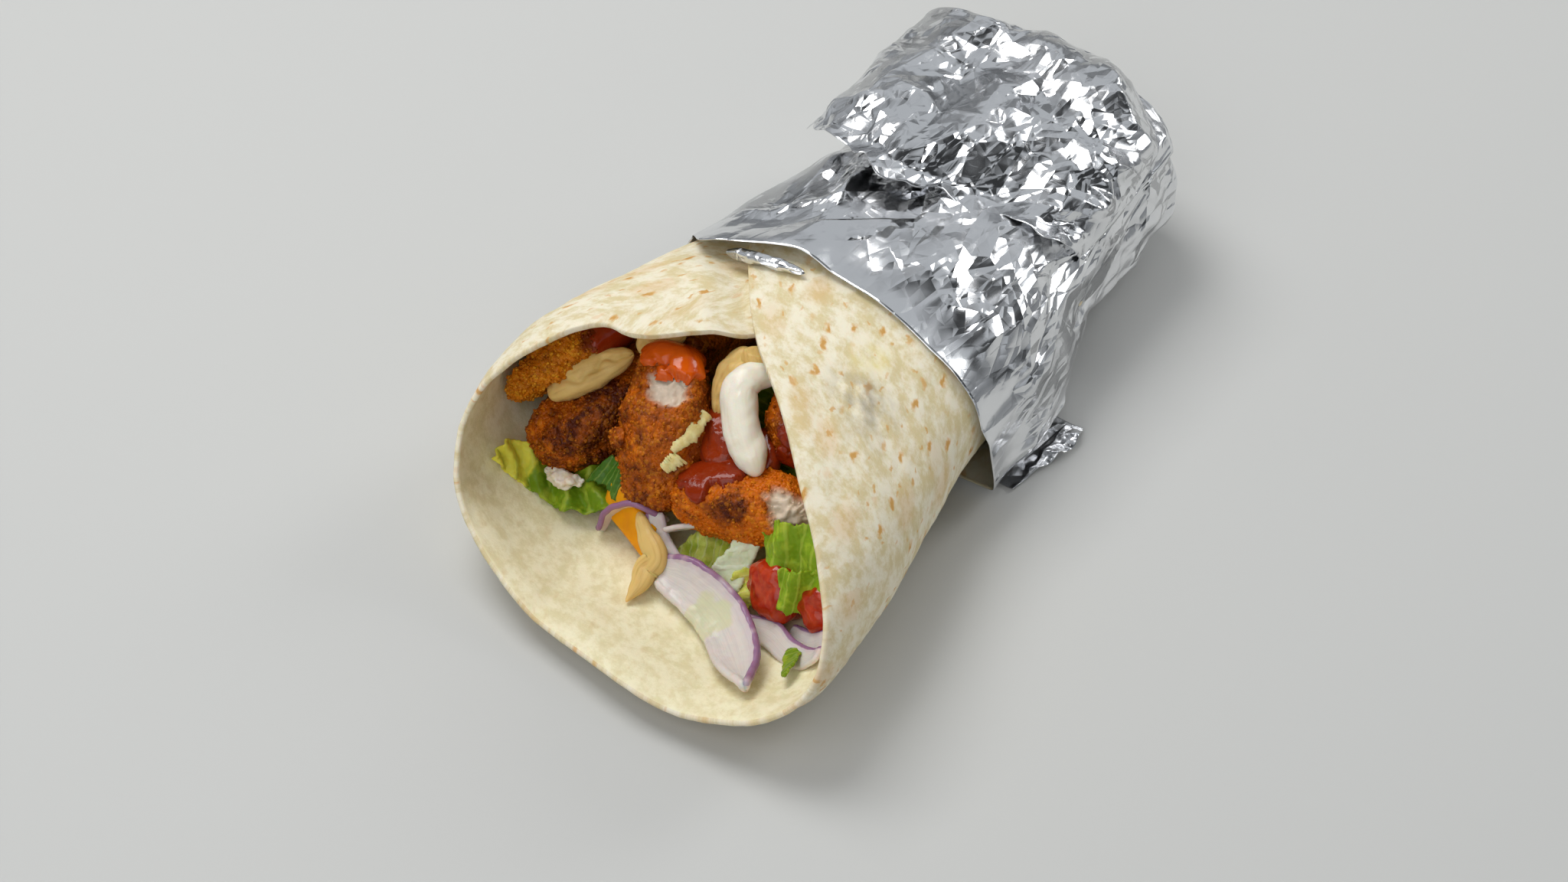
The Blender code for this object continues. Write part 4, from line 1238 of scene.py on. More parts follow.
    def flap(self) -> Shape:
        """The foil's far end, folded forward over the top to a ragged free edge and down over the end.

        The first parameter runs over the roll from left to right, the second from the free edge back to
        the end and down it, on an arc as deep as flap_depth says. Creases stand out from it, weaker towards
        its two sides.

        Returns:
            The open surface.
        """
        columns, rows = self.flap_grid
        u, v = np.meshgrid(np.linspace(0, 1, columns), np.linspace(0, 1, rows))
        share = np.stack((u, v), axis=-1)
        plane = share * self.flap_size
        ragged = self.flap_ragged * Noise(3)(plane[..., :1] * (1, 0, 0), 5 * MM)
        turn = self.flap_turn[0] + u * (self.flap_turn[1] - self.flap_turn[0])
        front = along_list(u, self.flap_front) + ragged
        y = front + np.clip(v / self.flap_top_share, 0, 1) * (self.close - front)
        over = np.clip((v - self.flap_top_share) / (1 - self.flap_top_share), 0, 1) * self.flap_bend
        left_rise, right_rise = self.flap_front_rise
        raised = self.flap_left_rise * (1 - smoothstep(0, 0.4, u))
        raised = raised + ((left_rise + (right_rise - left_rise) * smoothstep(0.3, 0.6, u))
                           * (1 - smoothstep(0, 0.35, v)))
        off_sides = smoothstep(0, 0.08, u) * smoothstep(0, 0.08, 1 - u)
        large = Creases(31).crumple(plane, self.flap_fold, 2, 0.35)
        small = Creases(37).crumple(plane, 0.4 * self.flap_fold, 1)
        crumple = ((0.25 + 0.75 * off_sides)
                   * (self.flap_crease * (large + 0.3) + self.flap_fine_crease * small))
        points = ROLL.point(turn * ROLL.perimeter(y), y, self.flap_stand_off + raised + crumple)
        middle_x, middle_z = self.cap_middle()
        points[..., 0] -= self.flap_taper * np.sin(over) * (points[..., 0] - middle_x)
        points[..., 1] += np.sin(over) * (along_list(u, self.flap_depth) + 0.6 * crumple)
        points[..., 2] = middle_z + np.cos(over) * (points[..., 2] - middle_z)
        flip = float(grid_normals(points)[v < self.flap_top_share, 2].sum()) < 0
        return Shape(points.reshape(-1, 3), [grid_faces(rows, columns, flip=flip)], share.reshape(-1, 2),
                     {"crumpled": np.ones(u.size)})

    def hem(self) -> Shape:
        """The small roll of foil under the front edge, pinched along its length.

        Returns:
            The closed roll.
        """
        axis = np.array([ROLL.point(0.5 * ROLL.perimeter(y) + shift, y, 0.5 * self.hem_thickness + self.gap)
                         for shift, y in self.hem_path])
        tube = Lump("hem", tuple(map(tuple, axis / MM)), (0.5 * self.hem_thickness / MM,), rows=60,
                    segments=40)
        grid, normals, uv = tube.surface()
        crumple = Creases(12).crumple(uv * (26 * MM, 10 * MM), 4 * MM, 2)
        grid = pinched(grid + normals * (self.hem_crease * crumple)[..., None])
        return closed_body(grid, uv, {"crumpled": np.ones(grid.shape[:2])})

    def corner(self) -> Shape:
        """The sheet's loose corner, flat under the skirt and pleated where it lies free.

        Returns:
            The open surface.
        """
        columns, rows = self.corner_grid
        u, v = np.meshgrid(np.linspace(0, 1, columns), np.linspace(0, 1, rows))
        share = np.stack((u, v), axis=-1)
        plane = share * self.corner_size
        y = self.corner_start + plane[..., 0]
        out = v * (along_list(u, self.corner_reach) + self.corner_tuck) - self.corner_tuck
        free = smoothstep(0, self.corner_reach.max(), out)
        pleat = 0.6 + 0.4 * np.cos(u * TAU * 3.5) + 0.5 * Creases(19).crumple(plane * (1, 0.4), 3 * MM, 2)
        x = self.skirt_face(y) + 0.5 * MM + out
        z = 2 * self.floor_gap + self.corner_pleat * free * pleat
        points = np.stack((x, y, np.maximum(z, self.floor_gap)), axis=-1)
        flip = float(grid_normals(points)[..., 2].sum()) < 0
        return Shape(points.reshape(-1, 3), [grid_faces(rows, columns, flip=flip)], share.reshape(-1, 2),
                     {"crumpled": np.ones(u.size)})

    def dress(self) -> None:
        """Make the four parts of the foil in the same metal."""
        metal = [KitchenFoil().make()]
        make_piece("foil_sleeve_crumpled", self.sleeve(), metal, ("foil_sleeve",), self.thickness)
        make_piece("foil_end_folded", self.flap(), metal, ("foil_flap",), self.thickness)
        make_piece("foil_hem_rolled", self.hem(), metal, ("foil_hem",))
        make_piece("foil_corner_pleated", self.corner(), metal, ("foil_corner",), self.thickness)


# ---- rounded and sliced food


@dataclass(frozen=True)
class Spot:
    """A painted place on food: its centre and radius in millimetres, and how strong it is."""

    centre: Place
    radius: float
    strength: float = 1.0


# Up and forwards, square to the slope of the filling at the mouth.
SLOPE: Place = (0, -0.7, 0.7)


def spotted(points: Array, spots: tuple[Spot, ...], noise: Noise, ragged: float = 0.3) -> Array:
    """How much of the spots each point has.

    A spot is full inside 0.85 of its radius and gone outside 1.15, the distance being moved in and out by
    noise, so that its border is uneven.

    Args:
        points: Places, in metres.
        spots: The painted places.
        noise: The field for the border.
        ragged: How uneven the border is, as a share of the radius.

    Returns:
        A number from 0 to 1 for each point.
    """
    total = np.zeros(points.shape[:-1])
    wobble = ragged * noise.layered(points, 3.5 * MM)
    for spot in spots:
        apart = np.linalg.norm(points - np.array(spot.centre) * MM, axis=-1) / (spot.radius * MM)
        total = np.maximum(total, spot.strength * (1 - smoothstep(0.85, 1.15, apart + wobble)))
    return total


@dataclass(frozen=True)
class Lump:
    """One rounded piece: the path and radii of its middle in millimetres, and how its section is formed.

    flatness is the section's height against its width, up the way its height points, squareness 1 for a
    round section and less for a squarer one, lumps its unevenness, and a bias above 1 puts more rows at
    its start.
    """

    name: str
    path: tuple[Place, ...]
    radii: tuple[float, ...]
    flatness: float = 1.0
    up: Place = (0, 0, 1)
    squareness: float = 0.75
    lumps: float = 0.08
    seed: int = 1
    rows: int = 80
    segments: int = 90
    bias: float = 1.0

    def surface(self) -> tuple[Array, Array, Array]:
        """Carry a squared circle along the path.

        With t from -1 to 1 along the piece, the section's size is the radius there times
        (1 - z * z) ** (squareness / 2), z being t's sign times |t| ** (1 / squareness), so the ends are
        round. Four waves of random direction make it uneven.

        Returns:
            Rows and columns of points, their outward normals, and the UV map.
        """
        steps = np.linspace(0, 1, self.rows) ** self.bias
        t = np.sin(math.pi * (steps - 0.5))
        t[0], t[-1] = -1, 1
        z = np.sign(t) * np.abs(t) ** (1 / self.squareness)
        ring = np.sqrt(np.maximum(1 - z * z, 0))
        along = 0.5 + 0.5 * t
        turn = np.linspace(0, TAU, self.segments, endpoint=False)
        path, radii = np.array(self.path) * MM, np.array(self.radii) * MM
        centre = along_list(along, path)
        tangent = heading(along, path)
        side = unit(np.cross(tangent, np.broadcast_to(np.array(self.up, float), tangent.shape)))
        lift = np.cross(side, tangent)
        width = np.sign(np.cos(turn)) * np.abs(np.cos(turn)) ** self.squareness
        height = np.sign(np.sin(turn)) * np.abs(np.sin(turn)) ** self.squareness
        swell = (along_list(along, radii) * ring ** self.squareness)[:, None] * np.ones(self.segments)
        direction = np.stack((ring[:, None] * np.cos(turn), ring[:, None] * np.sin(turn),
                              z[:, None] * np.ones(self.segments)), axis=-1)
        dice = random.Random(self.seed)
        for _ in range(4):
            wave = np.array([dice.uniform(-3.2, 3.2) for _ in range(3)])
            swell *= 1 + 0.5 * self.lumps * np.sin(direction @ wave + dice.uniform(0, TAU))
        grid = (centre[:, None] + (swell * width)[..., None] * side[:, None]
                + (swell * height * self.flatness)[..., None] * lift[:, None])
        normals = grid_normals(grid, closed=True)
        if float(np.sum(normals[1:-1] * (grid - centre[:, None])[1:-1])) < 0:
            normals = -normals
        normals[0], normals[-1] = -tangent[0], tangent[-1]
        uv = np.stack(np.broadcast_arrays(along[:, None], turn / TAU), axis=-1)
        return grid, normals, uv


@dataclass(frozen=True)
class Slice:
    """A thin piece: the path of its middle, its widths, the way its width points, all in millimetres.

    skin is the band of the width, from 0 to 1, over which the skin's mask sets in, and tinge the places
    that get the finish's second tone.
    """

    name: str
    path: tuple[Place, ...]
    widths: tuple[float, ...]
    across: tuple[Place, ...]
    thickness: float
    waves: float = 0.0
    wave_depth: float = 0.0
    cup: float = 0.0
    fold: float = 0.0
    frill: float = 0.0
    frill_size: float = 4.0
    ragged: float = 0.0
    skin: tuple[float, float] | None = None
    tinge: tuple[Spot, ...] = ()
    seed: int = 1
    columns: int = 90
    rows: int = 30

    def shape(self) -> Shape:
        """Sweep the width along the path, bow it across, wave it along and thicken it.

        The bow is cup * 4 (v - 1/2) ** 2 and the wave a sine of u + 0.35 v. Folds are the flat facets of a
        sheet of 16 by 12 mm, crumpled at 5.5 mm, and frills are noise that grows towards the long edges.

        Returns:
            The closed slice.
        """
        u, v = np.meshgrid(np.linspace(0, 1, self.columns), np.linspace(0, 1, self.rows))
        noise = Noise(self.seed)
        edge = np.stack((u * 60, 3 * np.sign(v - 0.5), 0 * u), axis=-1) * MM
        width = along_list(u, self.widths) * (1 + self.ragged * noise.layered(edge, 4 * MM))
        across = unit(along_list(u, self.across))
        normal = unit(np.cross(heading(u, self.path), across))
        place = v - 0.5
        rise = self.cup * 4 * place ** 2 + self.wave_depth * np.sin(TAU * self.waves * (u + 0.35 * v))
        share = np.stack((u, v), axis=-1)
        rise = rise + self.fold * Creases(self.seed).crumple(share * (16 * MM, 12 * MM), 5.5 * MM, 2)
        middle = (along_list(u, self.path) + (width * place)[..., None] * across
                  + rise[..., None] * normal) * MM
        bulge = self.frill * (0.35 + 1.3 * np.abs(place)) * noise.layered(middle, self.frill_size * MM)
        middle = ROLL.hold(middle + (bulge * MM)[..., None] * normal, 0.5 * self.thickness * MM)
        half = 0.5 * self.thickness * MM * grid_normals(middle)
        masks = {"tinge": spotted(middle, self.tinge, noise), "skin": np.zeros(u.shape)}
        if self.skin:
            masks["skin"] = smoothstep(*self.skin, v + 0.01 * noise(middle, 2 * MM))
        return slab(middle + half, middle - half, share, masks)


@dataclass(frozen=True)
class Crust:
    """A breaded lump: how dark it is fried, and where it is darker, glazed or torn open.

    relief is the height of its lumps against the usual, and grit the number of loose crumbs on it.
    """

    lump: Lump
    roast: float
    dark: tuple[Spot, ...] = ()
    glaze: tuple[Spot, ...] = ()
    torn: tuple[Spot, ...] = ()
    relief: float = 1.0
    grit: int = 500
    golden: bool = False

    def surface(self) -> tuple[Array, Array, dict[str, Array], Array]:
        """Roughen the lump with four sizes of noise, and sink it where it is torn.

        In millimetres, the coarse noise is 0.9 and 0.5 high, the fine 0.42 and 0.28, and the torn meat's
        fibres 1.5, in a hollow 2 deep.

        Returns:
            The grid of points, the smooth lump's normals, the painted masks and the UV map.
        """
        grid, normals, uv = self.lump.surface()
        noise = Noise(self.lump.seed + 40)
        torn = spotted(grid, self.torn, noise, 0.35)
        coarse = 0.9 * noise(grid, 6 * MM) + 0.5 * noise(grid + 0.1, 2.8 * MM)
        gritty = 0.42 * np.abs(noise(grid + 0.3, 1.5 * MM)) + 0.28 * noise(grid + 0.5, 0.8 * MM)
        fibre = 1.5 * np.abs(noise(grid * (1, 0.4, 1), 1.6 * MM))
        depth = self.relief * (coarse + gritty * (1 - torn)) + torn * (fibre - 2.0)
        grid = pinched(ROLL.hold(grid + normals * (depth * MM)[..., None]))
        masks = {
            "roast": np.clip(self.roast + spotted(grid, self.dark, noise, 0.5), 0, 1),
            "glaze": spotted(grid, self.glaze, noise),
            "meat": torn,
            # shade follows the coarse lumps: raised lumps get more of the light grit tone and hollows less,
            # which is painted highlight and painted shade.
            "shade": 0.25 * np.clip(coarse, -1, 1),
        }
        return grid, normals, masks, uv


def icosahedron() -> tuple[Array, Array]:
    """The solid of twenty equal triangles.

    Returns:
        Its twelve corners, at distance 1, and its triangles, facing outwards.
    """
    golden = (1 + math.sqrt(5)) / 2
    corners = np.array([(0, a, b * golden) for a in (-1, 1) for b in (-1, 1)])
    corners = unit(np.concatenate((corners, np.roll(corners, 1, axis=1), np.roll(corners, 2, axis=1))))
    gaps = np.linalg.norm(corners[:, None] - corners[None], axis=-1)
    near = (gaps > 0.1) & (gaps < 1.2)
    faces = np.array([(i, j, k) for i, j, k in itertools.combinations(range(len(corners)), 3)
                      if near[i, j] and near[j, k] and near[i, k]])
    first, second, third = np.moveaxis(corners[faces], 1, 0)
    inward = np.sum(np.cross(second - first, third - first) * first, axis=1) < 0
    faces[inward] = faces[inward][:, ::-1]
    return corners, faces


def scattered_grit(grid: Array, masks: dict[str, Array], count: int,
                   seed: int) -> tuple[Array, Array, dict[str, Array]]:
    """Loose crumbs strewn over a crust: jittered icosahedra, half sunk in it.

    A crumb's radius is drawn from 0.28 to 0.62 mm, then stretched by 0.6 to 1.3 each way. Torn meat has
    none.

    Args:
        grid: The crust's points.
        masks: The crust's masks.
        count: How many crumbs.
        seed: Of the random draw.

    Returns:
        The crumbs' points, their triangles and their masks.
    """
    dice = np.random.default_rng(seed)
    columns = grid.shape[1]
    cells = np.linalg.norm(np.cross(np.diff(grid, axis=0)[:, :-1], np.diff(grid, axis=1)[:-1]), axis=-1)
    chance = (cells * (1 - masks["meat"][:-1, :-1])).ravel()
    picked = dice.choice(len(chance), count, p=chance / chance.sum())
    r, c = picked // (columns - 1), picked % (columns - 1)
    corners, faces = icosahedron()
    size = dice.uniform(0.28, 0.62, (count, 1, 1)) * MM * dice.uniform(0.6, 1.3, (count, 1, 3))
    jitter = dice.uniform(0.7, 1.3, (count, len(corners), 1))
    points = grid[r, c][:, None] + corners[None] * size * jitter
    numbers = faces[None] + len(corners) * np.arange(count)[:, None, None]
    painted = {name: np.repeat(values[r, c], len(corners)) for name, values in masks.items()}
    painted["shade"] = np.repeat(dice.uniform(-0.1, 0.65, count), len(corners))
    return points.reshape(-1, 3), numbers.reshape(-1, 3), painted


class Glaze(Enum):
    """The thin sauces that ran over the crusts."""

    RED = Sauce("sweet_red_glaze", "DC5C08", "B63C04", roughness=0.1, depth=0.15, gloss=0.4)
    CHILI = Sauce("sweet_chili_glaze", "8A2A0A", "54160A", roughness=0.08, depth=0.1, gloss=0.3)


@dataclass(frozen=True)
class Coat:
    """A run of thin sauce: the crust under it, where it lies, its height in millimetres, and which it is."""

    crust: str
    spots: tuple[Spot, ...]
    depth: float
    glaze: Glaze

    def shape(self, crust: Crust) -> Shape:
        """The sauce's surface.

        The smooth lump's points are moved out by depth * sqrt(m), m being how far inside the spots they
        lie, and sunk into the crust outside them, so that the sauce ends where the crust comes through.

        Args:
            crust: The crust that it lies on.

        Returns:
            The open surface.
        """
        grid, normals, uv = crust.lump.surface()
        noise = Noise(crust.lump.seed + 70)
        cover = spotted(grid, self.spots, noise)
        swell = crust.relief * 0.9 * Noise(crust.lump.seed + 40)(grid, 6 * MM) + 0.15 * noise(grid, 3 * MM)
        height = 0.35 + swell + self.depth * np.sqrt(cover) - 1.3 * (1 - smoothstep(0, 0.35, cover))
        points = ROLL.hold(grid + normals * (height * MM)[..., None])
        faces = grid_faces(*grid.shape[:2], closed=True)
        faces = faces[(cover.ravel()[faces] > 0).any(axis=1)]
        used, numbers = np.unique(faces, return_inverse=True)
        points = points.reshape(-1, 3)[used]
        numbers = numbers.reshape(faces.shape)
        corner = points[numbers]
        facing = np.cross(corner[:, 1] - corner[:, 0], corner[:, 2] - corner[:, 0])
        if float(np.sum(facing * normals.reshape(-1, 3)[faces[:, 0]])) < 0:
            numbers = numbers[:, ::-1]
        return Shape(points, [numbers], uv.reshape(-1, 2)[used])


@dataclass
class Chicken:
    """Breaded chicken strips: crusts, loose grit, a torn shred of meat and the sauce that ran over them."""

    crusts: tuple[Crust, ...] = (
        Crust(Lump("chicken_middle", ((-9, -103, 14), (-14, -92, 27), (-21, -77, 43)), (10, 12, 10.5),
                   flatness=0.8, up=SLOPE, squareness=0.7, lumps=0.1, seed=3, rows=110, segments=150),
              # The second dark spot darkens its left side where it meets the left strip: painted shade
              # between the two.
              roast=0.46, dark=(Spot((-12, -106, 20), 6, 0.2), Spot((-22, -96, 27), 7, 0.25)),
              glaze=(Spot((-2, -92, 31), 4, 0.5),), torn=(Spot((-14.5, -88.3, 43.5), 5.2),), grit=900),
        Crust(Lump("chicken_lower", ((-4, -99, 20), (14, -94.5, 22), (34, -88.5, 25.5)), (9, 9.2, 8.5),
                   flatness=0.95, squareness=0.7, lumps=0.1, seed=8, rows=110, segments=140),
              roast=0.16, dark=(Spot((16, -100.7, 28.5), 4.2, 0.55), Spot((12, -103, 25), 3.5, 0.4)),
              glaze=(Spot((3, -97, 29.5), 5, 0.75),),
              torn=(Spot((29.5, -95.5, 30), 6.5), Spot((33, -96, 25), 6)), grit=900),
        Crust(Lump("chicken_left",
                   ((-46, -106, 15), (-36, -85, 22), (-30, -40, 26), (-21, 15, 30), (-19, 62, 31)),
                   (9.5, 11.5, 15, 15, 13), squareness=0.65, seed=4, rows=210, segments=130, bias=1.7),
              # The second dark spot darkens its right side where it meets the middle strip: painted shade
              # between the two.
              roast=0.54, dark=(Spot((-37, -104, 22), 5, 0.3), Spot((-26, -95, 26), 14, 0.35)), grit=1000),
        Crust(Lump("chicken_back_left",
                   ((-55, -103, 27), (-49, -84, 34), (-37, -45, 38), (-26, -10, 40), (-8, 52, 43)),
                   (5.5, 7, 7, 7, 5), flatness=1.3, up=(0.5, 0, 0.85), squareness=0.65, seed=5, rows=220,
                   segments=110, bias=1.7),
              roast=0.05, dark=(Spot((-50, -84, 34), 9, 0.3),),
              glaze=(Spot((-40, -80, 40), 8, 0.9), Spot((-38, -72, 40), 10, 0.9)), relief=1.9, grit=1300,
              golden=True),
        Crust(Lump("chicken_right", ((20, -83, 34), (15, -55, 36), (14, -15, 35), (16, 25, 33), (14, 62, 30)),
                   (12, 13, 14.5, 15.5, 13), flatness=0.95, squareness=0.65, seed=6, rows=180, segments=120,
                   bias=1.7),
              roast=0.5, glaze=(Spot((22, -80, 42), 9, 0.9),)),
        Crust(Lump("crumb_nub", ((-24, -99, 28), (-21, -100, 29.5), (-19, -99, 30)), (2.2, 2.8, 2.2), seed=9,
                   rows=36, segments=40), roast=0.45, relief=0.7, grit=60),
    )
    coats: tuple[Coat, ...] = (
        Coat("chicken_middle", (Spot((-21, -76, 47), 9.5), Spot((-15, -80, 47), 5.5)), 1.5, Glaze.RED),
        Coat("chicken_lower", (Spot((2, -98, 29), 5), Spot((6, -94, 31), 6.5), Spot((5, -101, 28), 3.5)), 1.4,
             Glaze.CHILI),
        Coat("chicken_right", (Spot((22, -90, 32), 9), Spot((19, -84, 41), 4), Spot((26, -86, 40), 8)), 1.2,
             Glaze.CHILI),
        Coat("chicken_back_left", (Spot((-39, -79, 41), 7.5), Spot((-37, -70, 42), 10)), 1.1, Glaze.CHILI),
    )
    shred: Lump = Lump("meat_shred", ((-41.5, -107, 11.5), (-36, -107, 11), (-30.5, -105, 12)),
                       (1.5, 2.6, 1.6), flatness=0.7, seed=3, rows=50, segments=50)
    grit_reach: float = 0.55

    def breaded(self, crust: Crust, seed: int) -> Shape:
        """A crust with its loose grit, which long strips have only over grit_reach of their rows.

        Args:
            crust: The crust.
            seed: Of the grit's random draw.

        Returns:
            The closed body and the grains.
        """
        grid, _, masks, uv = crust.surface()
        body = closed_body(grid, uv, masks)
        near = int(len(grid) * (self.grit_reach if crust.lump.bias > 1 else 1))
        loose, triangles, painted = scattered_grit(
            grid[:near], {key: values[:near] for key, values in masks.items()}, crust.grit, seed)
        body.faces.append(triangles + len(body.points))
        body.points = np.concatenate((body.points, loose))
        body.uv = np.concatenate((body.uv, np.zeros((len(loose), 2))))
        body.masks = {key: np.concatenate((values, painted[key])) for key, values in body.masks.items()}
        return body

    def dress(self) -> None:
        """Make the crusts, the grit on them, the sauce over them and the torn shred."""
        brown = FriedCrumb().make()
        golden = FriedCrumb("golden_crumb", light="D0780A", dark="7A3A08", grit="F2B02C").make()
        sauces = {glaze: glaze.value.make() for glaze in Glaze}
        found = {crust.lump.name: crust for crust in self.crusts}
        for number, (name, crust) in enumerate(found.items()):
            node = (name,) if name.startswith("chicken") else ()
            make_piece(f"{name}_crust", self.breaded(crust, 60 + number), [golden if crust.golden else brown],
                       node)
        for number, coat in enumerate(self.coats):
            make_piece(f"glaze_on_{coat.crust}_{number}", coat.shape(found[coat.crust]), [sauces[coat.glaze]])
        meat = SoftFlesh("torn_white_meat", "F6ECDC", "E0CDB0", "F6ECDC", roughness=0.4,
                         cloud_size=1.6).make()
        grid, normals, uv = self.shred.surface()
        rough = 0.9 * MM * Noise(77).layered(grid, 2.2 * MM)
        grid = pinched(grid + normals * rough[..., None])
        make_piece(self.shred.name, closed_body(grid, uv, {"skin": 0 * rough}), [meat])


@dataclass(frozen=True)
class Bead(Lump):
    """A squeezed-out run of thick sauce, with a crease down its middle where it folded."""

    flatness: float = 0.8
    up: Place = SLOPE
    squareness: float = 0.9
    lumps: float = 0.06
    rows: int = 70
    segments: int = 56
    creased: bool = False
    crease_depth: float = 0.9
    crease_width: float = 0.035

    def shape(self) -> Shape:
        """Swell it softly with noise, and sink the crease, a bell curve that sways along the top.

        Returns:
            The closed body.
        """
        grid, normals, uv = self.surface()
        noise = Noise(self.seed + 90)
        depth = 0.4 * noise(grid, 4.5 * MM) + 0.16 * noise(grid + 0.2, 1.9 * MM)
        if self.creased:
            along, turn = np.moveaxis(uv, -1, 0)
            off_top = turn - 0.25 - 0.04 * np.sin(11 * along) - 0.02 * np.sin(29 * along)
            crease = np.exp(-(off_top / self.crease_width) ** 2) * smoothstep(0.1, 0.25, along)
            depth = depth - self.crease_depth * crease
        return closed_body(pinched(ROLL.hold(grid + normals * (depth * MM)[..., None])), uv)


@dataclass
class Sauces:
    """The thick sauces: a white ribbon, tan beads and a drip, the chili pools and two dry flakes."""

    white: Bead = Bead(
        "sauce_white",
        ((7, -69, 43.5), (2, -74, 44.5), (1, -79, 42.5), (6, -85, 38), (12, -89, 34.5), (16.5, -92, 32)),
        (3.8, 4.8, 5, 5, 5, 4.8), lumps=0.04, seed=2, rows=100, segments=70)
    tan: tuple[Bead, ...] = (
        Bead("sauce_tan_left", ((-47, -98, 28), (-42, -93, 32.5), (-37, -87, 35.5), (-32, -81, 38.5)),
             (4.4, 4.8, 4.4, 3.8), lumps=0.08, seed=4, rows=90, segments=64, creased=True),
        Bead("sauce_tan_upper", ((-32, -79, 38), (-28, -75.5, 42), (-22, -71, 45)), (4, 4.8, 4.2),
             flatness=0.9, seed=9, creased=True),
        Bead("sauce_tan_middle", ((-5, -67, 45), (-5, -75, 41), (-3, -83, 35)), (4.4, 4.4, 3.2),
             flatness=0.9, seed=6, creased=True),
        Bead("sauce_tan_drip",
             ((-10.5, -107, 14.5), (-5.4, -110, 12), (0, -113, 9.5), (-1, -116, 7), (0, -120, 5.5),
              (0, -125.5, 3.9)), (2.5, 3.3, 3.3, 3.5, 2.8, 1.0), flatness=0.7, seed=7, rows=100),
    )
    blob: Bead = Bead("tan_blob", ((-3, -66, 46), (-1, -69, 46.5), (1.5, -72, 45.5)), (3.4, 4.2, 3.4),
                      flatness=0.9, seed=14, rows=50, segments=44)
    chili: tuple[Bead, ...] = (
        Bead("chili_pool", ((-3, -78, 34), (0, -85, 31.5), (5, -93, 29.5)), (6, 7, 5.5), flatness=0.55,
             up=(0, -0.5, 0.85), squareness=0.8, lumps=0.1, seed=15, segments=60),
        Bead("chili_behind", ((8, -78, 33), (12, -84, 29.5), (15, -89, 28)), (5, 6, 4), flatness=0.6,
             up=(0, -0.5, 0.85), squareness=0.8, lumps=0.1, seed=16, rows=60, segments=50),
    )
    flakes: tuple[Slice, ...] = (
        Slice("flake_upper", ((-5.2, -98.5, 33.5), (-3.6, -93, 36), (-4.0, -86, 37)), (1.6, 3.2, 2.2),
              ((0.8, 0.1, -0.5),), thickness=0.8, cup=0.5, frill=0.7, ragged=0.5, seed=5, columns=50,
              rows=16),
        Slice("flake_lower", ((-5.6, -102, 29.5), (-3.4, -98.5, 32)), (2.4, 3.4), ((0.8, 0.1, -0.5),),
              thickness=0.8, cup=0.5, frill=0.6, ragged=0.5, seed=6, columns=30, rows=14),
    )

    def dress(self) -> None:
        """Make each bead in its own sauce, and the two flakes."""
        white = Sauce("garlic_sauce", "F3EDDC", "E8DFC8", roughness=0.24, depth=0.5, gloss=0.4).make()
        tan = Sauce("mustard_sauce", "DEBC74", "BE9650", roughness=0.36, depth=0.3, gloss=0.2).make()
        chili = Sauce("chili_sauce", "90300C", "5C1A0E", roughness=0.08, depth=0.12, gloss=0.3).make()
        name = self.white.name
        make_piece(f"{name}_ribbon", self.white.shape(), [white], (name,))
        for bead in self.tan:
            make_piece(f"{bead.name}_bead", bead.shape(), [tan], (bead.name,))
        make_piece(self.blob.name, self.blob.shape(), [tan])
        for bead in self.chili:
            make_piece(bead.name, bead.shape(), [chili])
        dry = SoftFlesh("dried_sauce", "EBDDA2", "D9C27C", "EBDDA2", roughness=0.5, cloud_size=2.0).make()
        for flake in self.flakes:
            make_piece(flake.name, flake.shape(), [dry])


class Green(Enum):
    """The tones of the leaves."""

    PLAIN = Leaf("lettuce_green", green="6C8A18", pale="AEBC48", tip="94A82A")
    BRIGHT = Leaf("lettuce_folded_green", green="80A01E", pale="BACA50", tip="A2BA30", ribs=5)
    DARK = Leaf("lettuce_dark_green", green="466E22", pale="86A048", tip="5C8030", pale_share=0.2)
    LIGHT = Leaf("lettuce_light_green", green="A8BC3C", pale="E0E6A4", tip="CED866", pale_share=0.8)
    RIB = Leaf("lettuce_midrib", green="CBD8A6", pale="EEF1DC", tip="DDE4C2", ribs=3, pale_share=0.9)
    YELLOW = Leaf("lettuce_yellow_frill", green="C9CF4A", pale="E9E79A", tip="DDDC6A", pale_share=0.7)


@dataclass(frozen=True)
class Shred(Slice):
    """A piece of lettuce leaf, in its own tone."""

    thickness: float = 0.8
    tone: Green = Green.PLAIN


